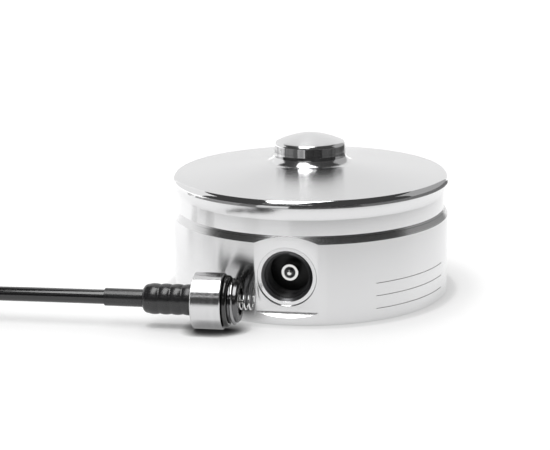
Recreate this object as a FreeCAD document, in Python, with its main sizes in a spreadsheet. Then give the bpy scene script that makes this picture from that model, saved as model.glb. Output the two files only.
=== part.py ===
"""Compression load cell with its unscrewed coaxial lead, in millimetres.

The cell stands on z = 0 with its axis on Z. The socket in its wall faces -Y. The plug lies on the floor
in front of the wall, and its cable runs to a tied coil with a second plug.
"""
import FreeCAD, Part
import math
import os

import Sketcher
from FreeCAD import Placement, Rotation, Vector
from types import SimpleNamespace

SIZES = [
    # Outside of the cell
    ("wall_radius", 50.0, "lower wall"),
    ("base_chamfer", 0.4, "edge of the foot"),
    ("shoulder_low", 28.4, "height where the wall ends"),
    ("shoulder_high", 31.1, "height where the band begins"),
    ("band_radius", 48.6, "recessed band"),
    ("band_top", 36.7, "height where the cove begins"),
    ("cove_radius", 8.0, "hollow under the lip"),
    ("lip_radius", 50.2, "lip round the top plate"),
    ("lip_under", 40.75, "height of the lip's lower edge"),
    ("lip_round", 2.2, "upper edge of the lip"),
    ("plate_top", 43.6, "height of the top plate at the lip"),
    ("plate_rise", 3.45, "slope of the top plate, from the lip up to the button's foot"),
    ("button_radius", 12.9, "load button"),
    ("button_rise", 13.95, "top of the button above the plate's edge"),
    ("button_edge", 1.5, "rounded rim of the button"),
    ("crown_radius", 28.1, "dome of the button"),
    ("foot_radius", 3.9, "hollow round at the button's foot"),
    # Milled flat and socket
    ("flat_distance", 48.75, "flat from the axis"),
    ("flat_foot", 4.3, "height of the flat's lower edge"),
    ("ramp_foot", 2.7, "height where the ramp meets the wall"),
    ("socket_height", 16.8, "socket axis above the floor"),
    ("spot_radius", 10.3, "spot face round the socket"),
    ("spot_depth", 0.5, "spot face below the flat"),
    ("mouth_radius", 8.95, "lead-in chamfer"),
    ("thread_radius", 8.0, "socket bore"),
    ("socket_depth", 11.5, "socket floor below the flat"),
    # Feedthrough
    ("eyelet_radius", 3.1, "metal ring"),
    ("eyelet_edge", 0.3, "rounded rim of the ring"),
    ("eyelet_depth", 6.0, "ring face below the flat"),
    ("eyelet_proud", 1.0, "ring inside the cavity"),
    ("glass_radius", 1.8, "glass seal"),
    ("glass_sink", 0.8, "glass below the ring face"),
    ("pin_radius", 1.1, "contact pin"),
    ("pin_proud", 1.3, "pin in front of the ring face"),
    ("pin_tail", 2.5, "pin behind the ring"),
    # Cavity
    ("cover_radius", 40.0, "recess for the base cover"),
    ("cover_thickness", 3.0, "base cover"),
    ("cover_inset", 0.4, "cover above the floor"),
    ("weld_gap", 0.05, "cover in its recess"),
    ("cavity_radius", 34.0, "lower cavity"),
    ("eyelet_clear", 0.3, "carrier above the ring"),
    ("ledge_width", 7.0, "ledge that takes the carrier"),
    ("roof_height", 33.0, "underside of the top plate"),
    ("boss_radius", 9.0, "boss under the button"),
    # Sensor
    ("sense_gap", 0.3, "boss above the ceramic"),
    ("carrier_thickness", 4.0, "carrier plate"),
    ("carrier_gap", 0.3, "carrier in the cavity"),
    ("carrier_screw_inset", 3.5, "carrier screws from the cavity wall"),
    ("carrier_screw_count", 6, "carrier screws"),
    ("carrier_screw_radius", 1.5, "carrier screw shank"),
    ("carrier_screw_grip", 7.0, "shank in the body"),
    ("flange_radius", 14.0, "ceramic flange"),
    ("flange_thickness", 1.5, "ceramic flange"),
    ("plateau_radius", 11.0, "ceramic face"),
    ("plateau_height", 2.0, "ceramic face above the flange"),
    ("seat_gap", 0.1, "ceramic in its seat"),
    ("clamp_radius", 19.0, "clamp ring"),
    ("clamp_thickness", 1.4, "clamp ring"),
    ("clamp_gap", 0.3, "clamp ring round the ceramic face"),
    ("clamp_screw_circle", 16.5, "clamp screws from the axis"),
    ("clamp_screw_count", 3, "clamp screws"),
    ("clamp_screw_radius", 1.0, "clamp screw shank"),
    ("clamp_screw_grip", 2.6, "shank in the carrier"),
    ("drill_gap", 0.1, "holes round screws"),
    # Board
    ("board_gap", 4.0, "circuit board in the cavity"),
    ("board_thickness", 1.6, "circuit board"),
    ("standoff_length", 9.6, "board below the carrier"),
    ("standoff_radius", 2.5, "spacer"),
    ("standoff_inset", 12.0, "spacers from the cavity wall"),
    ("standoff_count", 3, "spacers"),
    ("stud_radius", 1.25, "stud on the spacer and board screw"),
    ("stud_length", 2.8, "stud in the carrier"),
    ("board_screw_grip", 3.4, "screw in the spacer"),
    ("lead_radius", 0.6, "inner wires"),
    ("lead_circle", 6.0, "sensor wires from the axis"),
    ("lead_hole_radius", 1.4, "holes for the sensor wires"),
    ("lead_count", 2, "sensor wires"),
    ("signal_landing", 24.5, "signal wire on the board, from the axis"),
    # Plug, lying on its collar
    ("plug_x", -30.2, "rear face of the collar"),
    ("plug_y", -56.4, "rear face of the collar"),
    ("collar_radius", 9.6, "plug collar"),
    ("collar_length", 10.4, "plug collar"),
    ("collar_chamfer", 0.4, "edges of the collar"),
    ("seal_radius", 7.0, "groove of the sealing ring"),
    ("seal_section", 1.9, "sealing ring's cord"),
    ("nose_length", 5.3, "nose in front of the collar"),
    ("nose_root_radius", 7.1, "root of the nose thread"),
    ("nose_chamfer", 0.6, "tip of the nose"),
    ("nose_bore", 4.6, "bore for the insulator"),
    ("nose_bore_depth", 11.0, "bore behind the tip"),
    ("insulator_sink", 2.2, "insulator behind the tip"),
    ("spring_pocket", 3.0, "pocket for the spring"),
    ("spring_pocket_depth", 4.0, "pocket for the spring"),
    ("spring_radius", 2.42, "middle of the spring wire"),
    ("spring_wire", 0.33, "radius of the spring wire"),
    ("spring_pitch", 1.67, "one turn of the spring"),
    ("spring_proud", 5.0, "spring in front of the nose"),
    ("contact_radius", 0.9, "centre contact"),
    ("contact_tip", 1.5, "centre contact in front of the nose"),
    ("stem_radius", 4.4, "rings of the stem"),
    ("stem_ring_height", 0.5, "rings above their grooves"),
    ("stem_ring_gap", 1.2, "groove between two rings"),
    ("stem_ring_count", 4, "rings"),
    ("rib_pitch", 3.95, "rings and ribs along the stem"),
    ("stem_floor", 2.0, "cable end in front of the collar's rear face"),
    ("sleeve_wall", 0.6, "sleeve over the stem's rings"),
    ("rib_swell", 0.3, "sleeve ribs above their valleys"),
    ("sleeve_neck_radius", 3.05, "sleeve on the cable"),
    ("sleeve_neck_length", 13.5, "sleeve on the cable"),
    ("cable_radius", 2.5, "coaxial cable"),
    # Coil of the put-away length
    ("coil_radius", 30.0, "middle of the turns"),
    ("coil_half_width", 11.25, "turns to each side of their middle"),
    ("coil_height", 20.0, "stacked turns"),
    ("coil_edge", 2.5, "rounded edges of the coil"),
    ("tie_thickness", 1.0, "band round the coil"),
    ("tie_width", 7.0, "band round the coil"),
    ("tie_slack", 0.35, "band off the coil's round walls"),
    ("tie_count", 3, "bands"),
    # Far plug, lying on its coupling ring
    ("ferrule_radius", 3.4, "crimped tube"),
    ("ferrule_length", 13.0, "crimped tube"),
    ("far_flange_radius", 5.6, "shoulder of the plug body"),
    ("far_flange_length", 3.4, "shoulder of the plug body"),
    ("far_nose_radius", 4.0, "tube of the plug body"),
    ("far_nose_length", 13.0, "tube of the plug body"),
    ("far_bore", 3.2, "bore of that tube"),
    ("far_bore_floor", 2.0, "bore in front of the shoulder"),
    ("coupling_radius", 7.2, "coupling ring"),
    ("coupling_bore", 5.0, "inside of the coupling ring"),
    ("coupling_length", 14.6, "coupling ring"),
    ("coupling_web", 3.0, "rear wall of the coupling ring"),
    ("coupling_gap", 0.15, "coupling ring on the plug body"),
    ("coupling_edge", 0.5, "edges of the coupling ring"),
    ("grip_groove_radius", 0.75, "finger grooves"),
    ("grip_groove_count", 20, "finger grooves"),
    ("grip_groove_length", 8.0, "finger grooves"),
    ("bayonet_radius", 1.1, "bayonet slots"),
    ("bayonet_reach", 6.0, "bayonet slots from the rim"),
    ("bayonet_count", 2, "bayonet slots"),
    ("far_insulator_length", 7.0, "insulator of the far plug"),
    ("far_pin_radius", 0.7, "pin of the far plug"),
    ("far_pin_tip", 4.0, "pin in front of the insulator"),
]

# Parts on the underside of the board: length, width, height and the place of the middle
BOARD_PARTS = [
    (10.0, 10.0, 1.4, 8.0, 6.0),
    (7.0, 5.0, 1.6, -7.0, 9.0),
    (11.0, 4.6, 3.2, -6.0, -2.0),
    (6.0, 3.4, 2.4, 8.0, -6.0),
    (3.2, 1.6, 1.1, 17.0, 2.0),
    (3.2, 1.6, 1.1, 17.0, 6.0),
    (3.2, 1.6, 1.1, -13.5, 5.0),
    (3.2, 1.6, 1.1, -13.5, 1.5),
    (3.2, 1.6, 1.1, -2.0, 17.0),
    (4.2, 2.6, 1.8, 3.0, -15.0),
    (4.2, 2.6, 1.8, -4.0, -15.0),
]

# Routes of the cable, chosen by hand. The lead leaves the plug along its axis, and the tail enters the far
# plug along its axis, so those points have only x and y.
LEAD_BEND = (-94.2, -57.85)
LEAD_END = Vector(-161.0, -58.95, 8.5)
TAIL_ROUTE = [Vector(-174.25, -56.6, 3.5), Vector(-192.0, -50.1, 3.0), Vector(-209.2, -34.2, 3.6)]
TAIL_END = [(-211.0, -10.2), (-211.0, 13.8)]
COIL_CENTRE = Vector(-161.0, -20.2, 0.0)
FIRST_TIE = 22.0

LEFT = 1
RIGHT = -1


class Size:
    """A length with the expression that gives it."""

    def __init__(self, text, number):
        self.text = text
        self.number = number

    def join(self, sign, other, number):
        return Size("(%s %s %s)" % (self.text, sign, other.text), number)

    def __add__(self, other):
        return self.join("+", other, self.number + other.number)

    def __sub__(self, other):
        return self.join("-", other, self.number - other.number)

    def __mul__(self, factor):
        return Size("(%s * %s)" % (self.text, factor), self.number * factor)

    def __neg__(self):
        return self * -1

    def times(self, other):
        return self.join("*", other, self.number * other.number)

    def over(self, other):
        return self.join("/", other, self.number / other.number)

    def root(self):
        return Size("sqrt(%s)" % self.text, math.sqrt(self.number))


ZERO = Size("0", 0.0)


def sheet_of_sizes(doc):
    """Put the driving sizes in a sheet and return them by name."""
    sheet = doc.addObject("Spreadsheet::Sheet", "Dimensions")
    for row, (name, value, meaning) in enumerate(SIZES, 1):
        sheet.set("A%d" % row, name)
        sheet.set("B%d" % row, str(value))
        sheet.setAlias("B%d" % row, name)
        sheet.set("C%d" % row, meaning)
    doc.recompute()
    return SimpleNamespace(**{
        name: Size("Dimensions." + name, float(sheet.get(name))) for name, _, _ in SIZES
    })


def bind(sketch, constraint, size):
    """Add a constraint that follows a size."""
    index = sketch.addConstraint(constraint)
    sketch.setExpression("Constraints[%d]" % index, size.text)


def pin(sketch, edge, point, x, y):
    """Hold one end of an edge at (x, y)."""
    for kind, axis, size in (("DistanceX", -2, x), ("DistanceY", -1, y)):
        if size is ZERO:
            sketch.addConstraint(Sketcher.Constraint("PointOnObject", edge, point, axis))
        else:
            bind(sketch, Sketcher.Constraint(kind, -1, 1, edge, point, size.number), size)


def arc_between(start, stop, radius, side):
    """The short arc from start to stop that turns to the given side."""
    chord = stop - start
    half = chord.Length / 2
    normal = Vector(-chord.y, chord.x, 0).normalize() * side
    centre = (start + stop) / 2 + normal * math.sqrt(radius * radius - half * half)
    first, last = (start, stop) if side == LEFT else (stop, start)
    angles = [math.atan2(p.y - centre.y, p.x - centre.x) for p in (first, last)]
    return Part.ArcOfCircle(Part.Circle(centre, Vector(0, 0, 1), radius), *angles)


def draw(sketch, corners):
    """Close an outline through corners (x, y), or (x, y, radius, side) where the next edge is an arc."""
    ends = []
    for here, there in zip(corners, corners[1:] + corners[:1]):
        start = Vector(here[0].number, here[1].number, 0)
        stop = Vector(there[0].number, there[1].number, 0)
        if len(here) == 2:
            edge = sketch.addGeometry(Part.LineSegment(start, stop), False)
            ends.append((edge, 1, 2))
            continue
        radius, side = here[2:]
        edge = sketch.addGeometry(arc_between(start, stop, radius.number, side), False)
        ends.append((edge, 1, 2) if side == LEFT else (edge, 2, 1))
    for (edge, _, stop), (following, start, _) in zip(ends, ends[1:] + ends[:1]):
        sketch.addConstraint(Sketcher.Constraint("Coincident", edge, stop, following, start))
    for corner, (edge, start, _) in zip(corners, ends):
        pin(sketch, edge, start, corner[0], corner[1])
        if len(corner) > 2:
            bind(sketch, Sketcher.Constraint("Radius", edge, corner[2].number), corner[2])


def origin_feature(body, role):
    return next(feature for feature in body.Origin.OriginFeatures if feature.Role == role)


def new_body(doc, label):
    body = doc.addObject("PartDesign::Body", label)
    body.Label = label
    return body


def new_sketch(body, plane, corners):
    sketch = body.newObject("Sketcher::SketchObject", body.Name + "_outline")
    sketch.AttachmentSupport = [(origin_feature(body, plane), "")]
    sketch.MapMode = "FlatFace"
    draw(sketch, corners)
    return sketch


def spin(body, kind, plane, corners, axis=None):
    """Revolve or groove an outline about the sketch's upright axis, or about a line between two points."""
    sketch = new_sketch(body, plane, corners)
    if axis:
        start, stop = (Vector(x.number, y.number, 0) for x, y in axis)
        line = sketch.addGeometry(Part.LineSegment(start, stop), True)
        for point, (x, y) in enumerate(axis, 1):
            pin(sketch, line, point, x, y)
    feature = body.newObject("PartDesign::" + kind, body.Name + "_spin")
    feature.Profile = sketch
    feature.ReferenceAxis = (sketch, ["Axis0" if axis else "V_Axis"])
    feature.Angle = 360
    return feature


def turned(doc, label, corners):
    """A turned piece from its half section (radius, height)."""
    body = new_body(doc, label)
    spin(body, "Revolution", "XZ_Plane", corners)
    return body


def ring_pattern(body, feature, count):
    """Repeat a feature evenly round the body's Z axis."""
    pattern = body.newObject("PartDesign::PolarPattern", body.Name + "_ring")
    pattern.Originals = [feature]
    pattern.Axis = (origin_feature(body, "Z_Axis"), [""])
    pattern.Angle = 360
    pattern.setExpression("Occurrences", count.text)
    body.Tip = pattern


def turned_ring(doc, label, half_section, circle, count):
    """Equal turned pieces on a circle, from the half section of one about its own axis."""
    body = new_body(doc, label)
    corners = [(circle + radius, *rest) for radius, *rest in half_section]
    heights = [corner[1] for corner in corners]
    low = min(heights, key=lambda size: size.number)
    high = max(heights, key=lambda size: size.number)
    feature = spin(body, "Revolution", "XZ_Plane", corners, axis=[(circle, low), (circle, high)])
    ring_pattern(body, feature, count)
    return body


def drill(doc, body, radius, bottom, top, circle, count):
    """Holes along Z on a circle."""
    hole = body.newObject("PartDesign::SubtractiveCylinder", body.Name + "_hole")
    hole.setExpression("Radius", radius.text)
    hole.setExpression("Height", (top - bottom).text)
    hole.setExpression("Placement.Base.x", circle.text)
    hole.setExpression("Placement.Base.z", bottom.text)
    doc.recompute()
    ring_pattern(body, hole, count)


def place(piece, base, rotation):
    """Put a piece at a point given by sizes."""
    piece.Placement = Placement(Vector(*(size.number for size in base)), rotation)
    for axis, size in zip("xyz", base):
        piece.setExpression("Placement.Base." + axis, size.text)
    return piece


def rod(inner, outer, low, high):
    """Half section of a plain sleeve, or of a rod where inner is zero."""
    return [(inner, low), (outer, low), (outer, high), (inner, high)]


def screw_section(shank, head, head_height, seat, tip, upward):
    """Half section of a cap screw whose head sits on the seat."""
    crown = seat - head_height if upward else seat + head_height
    section = [(ZERO, crown), (head, crown), (head, seat), (shank, seat), (shank, tip), (ZERO, tip)]
    return section if upward else section[::-1]


def levels(d):
    """Heights and radii that pieces share. The spacers start on -X, between the clamp screws."""
    carrier_low = d.socket_height + d.eyelet_radius + d.eyelet_clear
    ledge = carrier_low + d.carrier_thickness
    board_top = carrier_low - d.standoff_length
    return SimpleNamespace(
        cover_top=d.cover_inset + d.cover_thickness,
        chamber_radius=d.cavity_radius - d.ledge_width,
        carrier_circle=d.cavity_radius - d.carrier_screw_inset,
        standoff_circle=-(d.cavity_radius - d.standoff_inset),
        board_radius=d.cavity_radius - d.board_gap,
        carrier_low=carrier_low,
        ledge=ledge,
        seat=ledge - d.flange_thickness,
        ceramic_top=ledge + d.plateau_height,
        boss_low=ledge + d.plateau_height + d.sense_gap,
        clamp_top=ledge + d.clamp_thickness,
        board_top=board_top,
        board_low=board_top - d.board_thickness,
        socket_floor=d.flat_distance - d.socket_depth,
        eyelet_end=d.cavity_radius - d.eyelet_proud,
        pin_end=d.cavity_radius - d.eyelet_proud - d.pin_tail,
        flat_reach=d.wall_radius * 2 - d.flat_distance,
    )


def load_body(doc, d, at):
    """Wall, shoulder, band, cove, lip, plate and button in one turned piece, with the flat and the socket."""
    top = d.plate_top + d.button_rise
    rim_radius = d.button_radius - d.button_edge
    rim_reach = d.crown_radius - d.button_edge
    rim_lift = (rim_reach.times(rim_reach) - rim_radius.times(rim_radius)).root()
    outward = d.crown_radius.over(rim_reach)
    crown_centre = top - d.crown_radius
    plate_high = d.plate_top + d.plate_rise
    body = turned(doc, "load_body", [
        (d.cover_radius, ZERO),
        (d.wall_radius - d.base_chamfer, ZERO),
        (d.wall_radius, d.base_chamfer),
        (d.wall_radius, d.shoulder_low),
        (d.band_radius, d.shoulder_high),
        (d.band_radius, d.band_top, d.cove_radius, RIGHT),
        (d.lip_radius, d.lip_under),
        (d.lip_radius, d.plate_top - d.lip_round, d.lip_round, LEFT),
        (d.lip_radius - d.lip_round, d.plate_top),
        (d.button_radius + d.foot_radius, plate_high, d.foot_radius, RIGHT),
        (d.button_radius, plate_high + d.foot_radius),
        (d.button_radius, crown_centre + rim_lift, d.button_edge, LEFT),
        (rim_radius.times(outward), crown_centre + rim_lift.times(outward), d.crown_radius, LEFT),
        (ZERO, top),
        (ZERO, at.boss_low),
        (d.boss_radius, at.boss_low),
        (d.boss_radius, d.roof_height),
        (at.chamber_radius, d.roof_height),
        (at.chamber_radius, at.ledge),
        (d.cavity_radius, at.ledge),
        (d.cavity_radius, at.cover_top),
        (d.cover_radius, at.cover_top),
    ])
    doc.recompute()

    flat = body.newObject("PartDesign::Pocket", "flat")
    flat.Profile = new_sketch(body, "YZ_Plane", [
        (-d.flat_distance, d.flat_foot),
        (-d.flat_distance, (d.shoulder_high + d.band_top) * 0.5),
        (-at.flat_reach, (d.shoulder_high + d.band_top) * 0.5),
        (-at.flat_reach, d.ramp_foot * 2 - d.flat_foot),
    ])
    flat.SideType = "Symmetric"
    flat.setExpression("Length", d.wall_radius.text)
    doc.recompute()

    spot = d.flat_distance - d.spot_depth
    socket = d.socket_height
    spin(body, "Groove", "YZ_Plane", [
        (-at.flat_reach, socket),
        (-at.flat_reach, socket + d.spot_radius),
        (-spot, socket + d.spot_radius),
        (-spot, socket + d.mouth_radius),
        (d.mouth_radius - d.thread_radius - spot, socket + d.thread_radius),
        (-at.socket_floor, socket + d.thread_radius),
        (-at.socket_floor, socket + d.eyelet_radius),
        (-at.eyelet_end, socket + d.eyelet_radius),
        (-at.eyelet_end, socket),
    ], axis=[(-at.flat_reach, socket), (-at.eyelet_end, socket)])
    doc.recompute()

    drill(doc, body, d.carrier_screw_radius + d.drill_gap, at.ledge,
          at.ledge + d.carrier_screw_grip + d.drill_gap, at.carrier_circle, d.carrier_screw_count)
    return body


def base_cover(doc, d, at):
    edge = d.cover_radius - d.weld_gap
    return turned(doc, "base_cover", [
        (ZERO, d.cover_inset),
        (edge - d.base_chamfer, d.cover_inset),
        (edge, d.cover_inset + d.base_chamfer),
        (edge, at.cover_top),
        (ZERO, at.cover_top),
    ])


def sensor_carrier(doc, d, at):
    """Plate with a seat for the ceramic and holes for screws, studs and wires."""
    edge = d.cavity_radius - d.carrier_gap
    seat = d.flange_radius + d.seat_gap
    body = turned(doc, "sensor_carrier", [
        (ZERO, at.carrier_low),
        (edge, at.carrier_low),
        (edge, at.ledge),
        (seat, at.ledge),
        (seat, at.seat),
        (ZERO, at.seat),
    ])
    doc.recompute()
    gap = d.drill_gap
    drill(doc, body, d.carrier_screw_radius + gap, at.carrier_low, at.ledge,
          at.carrier_circle, d.carrier_screw_count)
    drill(doc, body, d.lead_hole_radius, at.carrier_low, at.seat, d.lead_circle, d.lead_count)
    drill(doc, body, d.stud_radius + gap, at.carrier_low, at.carrier_low + d.stud_length + gap,
          at.standoff_circle, d.standoff_count)
    drill(doc, body, d.clamp_screw_radius + gap, at.ledge - d.clamp_screw_grip - gap, at.ledge,
          d.clamp_screw_circle, d.clamp_screw_count)
    return body


def carrier_screws(doc, d, at):
    shank = d.carrier_screw_radius
    section = screw_section(shank, shank * 1.8, shank * 2, at.carrier_low,
                            at.ledge + d.carrier_screw_grip, True)
    return turned_ring(doc, "carrier_screws", section, at.carrier_circle, d.carrier_screw_count)


def ceramic_sensor(doc, d, at):
    return turned(doc, "ceramic_sensor", [
        (ZERO, at.seat),
        (d.flange_radius, at.seat),
        (d.flange_radius, at.ledge),
        (d.plateau_radius, at.ledge),
        (d.plateau_radius, at.ceramic_top),
        (ZERO, at.ceramic_top),
    ])


def clamp_ring(doc, d, at):
    section = rod(d.plateau_radius + d.clamp_gap, d.clamp_radius, at.ledge, at.clamp_top)
    body = turned(doc, "clamp_ring", section)
    doc.recompute()
    drill(doc, body, d.clamp_screw_radius + d.drill_gap, at.ledge, at.clamp_top,
          d.clamp_screw_circle, d.clamp_screw_count)
    return body


def clamp_screws(doc, d, at):
    shank = d.clamp_screw_radius
    section = screw_section(shank, shank * 1.9, shank * 1.3, at.clamp_top,
                            at.ledge - d.clamp_screw_grip, False)
    return turned_ring(doc, "clamp_screws", section, d.clamp_screw_circle, d.clamp_screw_count)


def sensor_leads(doc, d, at):
    section = rod(ZERO, d.lead_radius, at.board_top, at.seat)
    return turned_ring(doc, "sensor_leads", section, d.lead_circle, d.lead_count)


def circuit_board(doc, d, at):
    body = turned(doc, "circuit_board", rod(ZERO, at.board_radius, at.board_low, at.board_top))
    doc.recompute()
    drill(doc, body, d.stud_radius + d.drill_gap, at.board_low, at.board_top,
          at.standoff_circle, d.standoff_count)
    return body


def board_components(doc, d, at):
    """Chips, crystal and capacitors that hang under the board."""
    body = new_body(doc, "board_components")
    for length, width, height, x, y in BOARD_PARTS:
        chip = body.newObject("PartDesign::AdditiveBox", "chip")
        chip.Length = length
        chip.Width = width
        chip.Height = height
        chip.Placement.Base = Vector(x - length / 2, y - width / 2, 0)
        chip.setExpression("Placement.Base.z", "%s - %s" % (at.board_low.text, height))
    return body


def board_standoffs(doc, d, at):
    """Spacers with a stud that enters the carrier and a bore for the board screw."""
    bore_top = at.board_top + d.board_screw_grip + d.drill_gap
    section = [
        (d.stud_radius, at.board_top),
        (d.standoff_radius, at.board_top),
        (d.standoff_radius, at.carrier_low),
        (d.stud_radius, at.carrier_low),
        (d.stud_radius, at.carrier_low + d.stud_length),
        (ZERO, at.carrier_low + d.stud_length),
        (ZERO, bore_top),
        (d.stud_radius, bore_top),
    ]
    return turned_ring(doc, "board_standoffs", section, at.standoff_circle, d.standoff_count)


def board_screws(doc, d, at):
    shank = d.stud_radius
    section = screw_section(shank, shank * 1.8, shank * 1.3, at.board_low,
                            at.board_top + d.board_screw_grip, True)
    return turned_ring(doc, "board_screws", section, at.standoff_circle, d.standoff_count)


def bent_path(points, bends):
    """Straight runs through the points, with a tangent arc of the given radius at each inner point."""
    edges = []
    start = points[0]
    for before, corner, after, radius in zip(points, points[1:], points[2:], bends):
        toward = (corner - before).normalize()
        away = (after - corner).normalize()
        turn = toward.getAngle(away)
        reach = radius * math.tan(turn / 2)
        into = corner - toward * reach
        out = corner + away * reach
        inward = (away - toward).normalize()
        middle = corner + inward * (radius / math.cos(turn / 2) - radius)
        edges.append(Part.LineSegment(start, into).toShape())
        edges.append(Part.Arc(into, middle, out).toShape())
        start = out
    edges.append(Part.LineSegment(start, points[-1]).toShape())
    return Part.Wire(edges)


def cord_bends(points):
    """The largest arc that the two runs at each inner point leave room for."""
    radii = []
    for before, corner, after in zip(points, points[1:], points[2:]):
        turn = (corner - before).getAngle(after - corner)
        shorter = min((corner - before).Length, (after - corner).Length)
        radii.append(0.45 * shorter / math.tan(turn / 2))
    return radii


def tube(doc, label, points, bends, radius):
    """A round tube along straight runs and arcs."""
    path = bent_path(points, bends)
    section = Part.Wire(Part.Circle(points[0], points[1] - points[0], radius).toShape())
    solid = path.makePipeShell([section], True, False)
    expected = math.pi * radius * radius * path.Length
    print(label, "length", round(path.Length, 1), "radii", [round(bend, 1) for bend in bends],
          "volume over section times length", round(solid.Volume / expected, 5))
    piece = doc.addObject("Part::Feature", label)
    piece.Label = label
    piece.Shape = solid
    return piece


def signal_lead(doc, d, at):
    """Wire from the pin's inner end, bent down to the board."""
    height = d.socket_height.number
    landing = -d.signal_landing.number
    points = [
        Vector(0, -at.pin_end.number, height),
        Vector(0, landing, height),
        Vector(0, landing, at.board_top.number),
    ]
    bend = 0.6 * min((points[1] - points[0]).Length, (points[2] - points[1]).Length)
    return tube(doc, "signal_lead", points, [bend], d.lead_radius.number)


def feedthrough(doc, d, at):
    """Ring, glass and pin on the socket's axis, drawn outwards from the flat."""
    outward = Rotation(Vector(0, 0, 1), Vector(0, -1, 0))
    base = (ZERO, -d.flat_distance, d.socket_height)
    face = -d.eyelet_depth
    rear = at.eyelet_end - d.flat_distance
    eyelet = turned(doc, "feedthrough_eyelet", [
        (d.glass_radius, rear),
        (d.eyelet_radius, rear),
        (d.eyelet_radius, face - d.eyelet_edge, d.eyelet_edge, LEFT),
        (d.eyelet_radius - d.eyelet_edge, face),
        (d.glass_radius, face),
    ])
    glass = turned(doc, "feedthrough_glass", rod(d.pin_radius, d.glass_radius, rear, face - d.glass_sink))
    tip = face + d.pin_proud
    nose = d.pin_radius * 0.6
    pin_piece = turned(doc, "feedthrough_pin", [
        (ZERO, at.pin_end - d.flat_distance),
        (d.pin_radius, at.pin_end - d.flat_distance),
        (d.pin_radius, tip - nose, nose, LEFT),
        (d.pin_radius - nose, tip),
        (ZERO, tip),
    ])
    return [place(piece, base, outward) for piece in (eyelet, glass, pin_piece)]


def plug_line(d):
    """The middle of the collar's rear face, and the way from the lead's first bend towards it."""
    height = d.collar_radius.number
    start = Vector(d.plug_x.number, d.plug_y.number, height)
    return start, (start - Vector(*LEAD_BEND, height)).normalize()


def plug_body(doc, d):
    """Collar, seal groove and nose in front, ringed stem behind, bored from both ends."""
    tip = d.collar_length + d.nose_length
    groove_end = d.collar_length + d.seal_section
    rings = int(d.stem_ring_count.number)
    root = d.stem_radius - d.stem_ring_height
    section = [(d.cable_radius, d.stem_floor), (d.cable_radius, -(d.rib_pitch * rings))]
    for ring in range(rings, 0, -1):
        rear = -(d.rib_pitch * ring)
        groove = rear + d.rib_pitch - d.stem_ring_gap
        front = -(d.rib_pitch * (ring - 1)) if ring > 1 else ZERO
        section += [(d.stem_radius, rear), (d.stem_radius, groove), (root, groove), (root, front)]
    section += [
        (d.collar_radius - d.collar_chamfer, ZERO),
        (d.collar_radius, d.collar_chamfer),
        (d.collar_radius, d.collar_length - d.collar_chamfer),
        (d.collar_radius - d.collar_chamfer, d.collar_length),
        (d.seal_radius, d.collar_length),
        (d.seal_radius, groove_end),
        (d.nose_root_radius, groove_end),
        (d.nose_root_radius, tip - d.nose_chamfer),
        (d.nose_root_radius - d.nose_chamfer, tip),
        (d.nose_bore, tip),
        (d.nose_bore, tip - d.nose_bore_depth),
        (ZERO, tip - d.nose_bore_depth),
        (ZERO, d.stem_floor),
    ]
    return turned(doc, "plug_body", section)


def plug_pieces(doc, d):
    """The plug and what it carries, drawn along its own axis from the collar's rear face."""
    tip = d.collar_length + d.nose_length
    half = d.seal_section * 0.5
    ring_middle = d.seal_radius + half
    floor = tip - d.nose_bore_depth
    face = tip - d.insulator_sink
    pocket = face - d.spring_pocket_depth
    seal = turned(doc, "plug_o_ring", [
        (ring_middle, d.collar_length, half, LEFT),
        (ring_middle + half, d.collar_length + half, half, LEFT),
        (ring_middle, d.collar_length + d.seal_section, half, LEFT),
        (ring_middle - half, d.collar_length + half, half, LEFT),
    ])
    insulator = turned(doc, "plug_insulator", [
        (d.contact_radius, floor),
        (d.nose_bore, floor),
        (d.nose_bore, face),
        (d.spring_pocket, face),
        (d.spring_pocket, pocket),
        (d.contact_radius, pocket),
    ])
    contact_tip = tip + d.contact_tip
    contact = turned(doc, "centre_contact", [
        (ZERO, floor),
        (d.contact_radius, floor),
        (d.contact_radius, contact_tip - d.contact_radius * 0.5),
        (d.contact_radius * 0.5, contact_tip),
        (ZERO, contact_tip),
    ])
    pieces = [plug_body(doc, d), seal, insulator, contact, shrink_sleeve(doc, d)]
    turn = Rotation(Vector(0, 0, 1), plug_line(d)[1])
    base = (d.plug_x, d.plug_y, d.collar_radius)
    for piece in pieces:
        place(piece, base, turn)
    pieces.append(contact_spring(doc, d, pocket, turn))
    return pieces


def shrink_sleeve(doc, d):
    """Shrink tube that swells over the stem's rings and closes on the cable."""
    crest = d.stem_radius + d.sleeve_wall + d.rib_swell
    valley = crest - d.rib_swell
    half = d.rib_pitch * 0.5
    swell = (half.times(half) + d.rib_swell.times(d.rib_swell)).over(d.rib_swell * 2)
    rings = int(d.stem_ring_count.number)
    stem_end = -(d.rib_pitch * rings)
    shoulder = valley - d.sleeve_neck_radius
    neck = stem_end - shoulder
    end = neck - d.sleeve_neck_length
    section = [
        (d.cable_radius, end),
        (d.sleeve_neck_radius, end),
        (d.sleeve_neck_radius, neck, shoulder, LEFT),
    ]
    for ring in range(rings, 0, -1):
        section.append((valley, -(d.rib_pitch * ring), swell, LEFT))
    section += [
        (valley, ZERO),
        (d.stem_radius, ZERO),
        (d.stem_radius, stem_end),
        (d.cable_radius, stem_end),
    ]
    return turned(doc, "shrink_sleeve", section)


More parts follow.
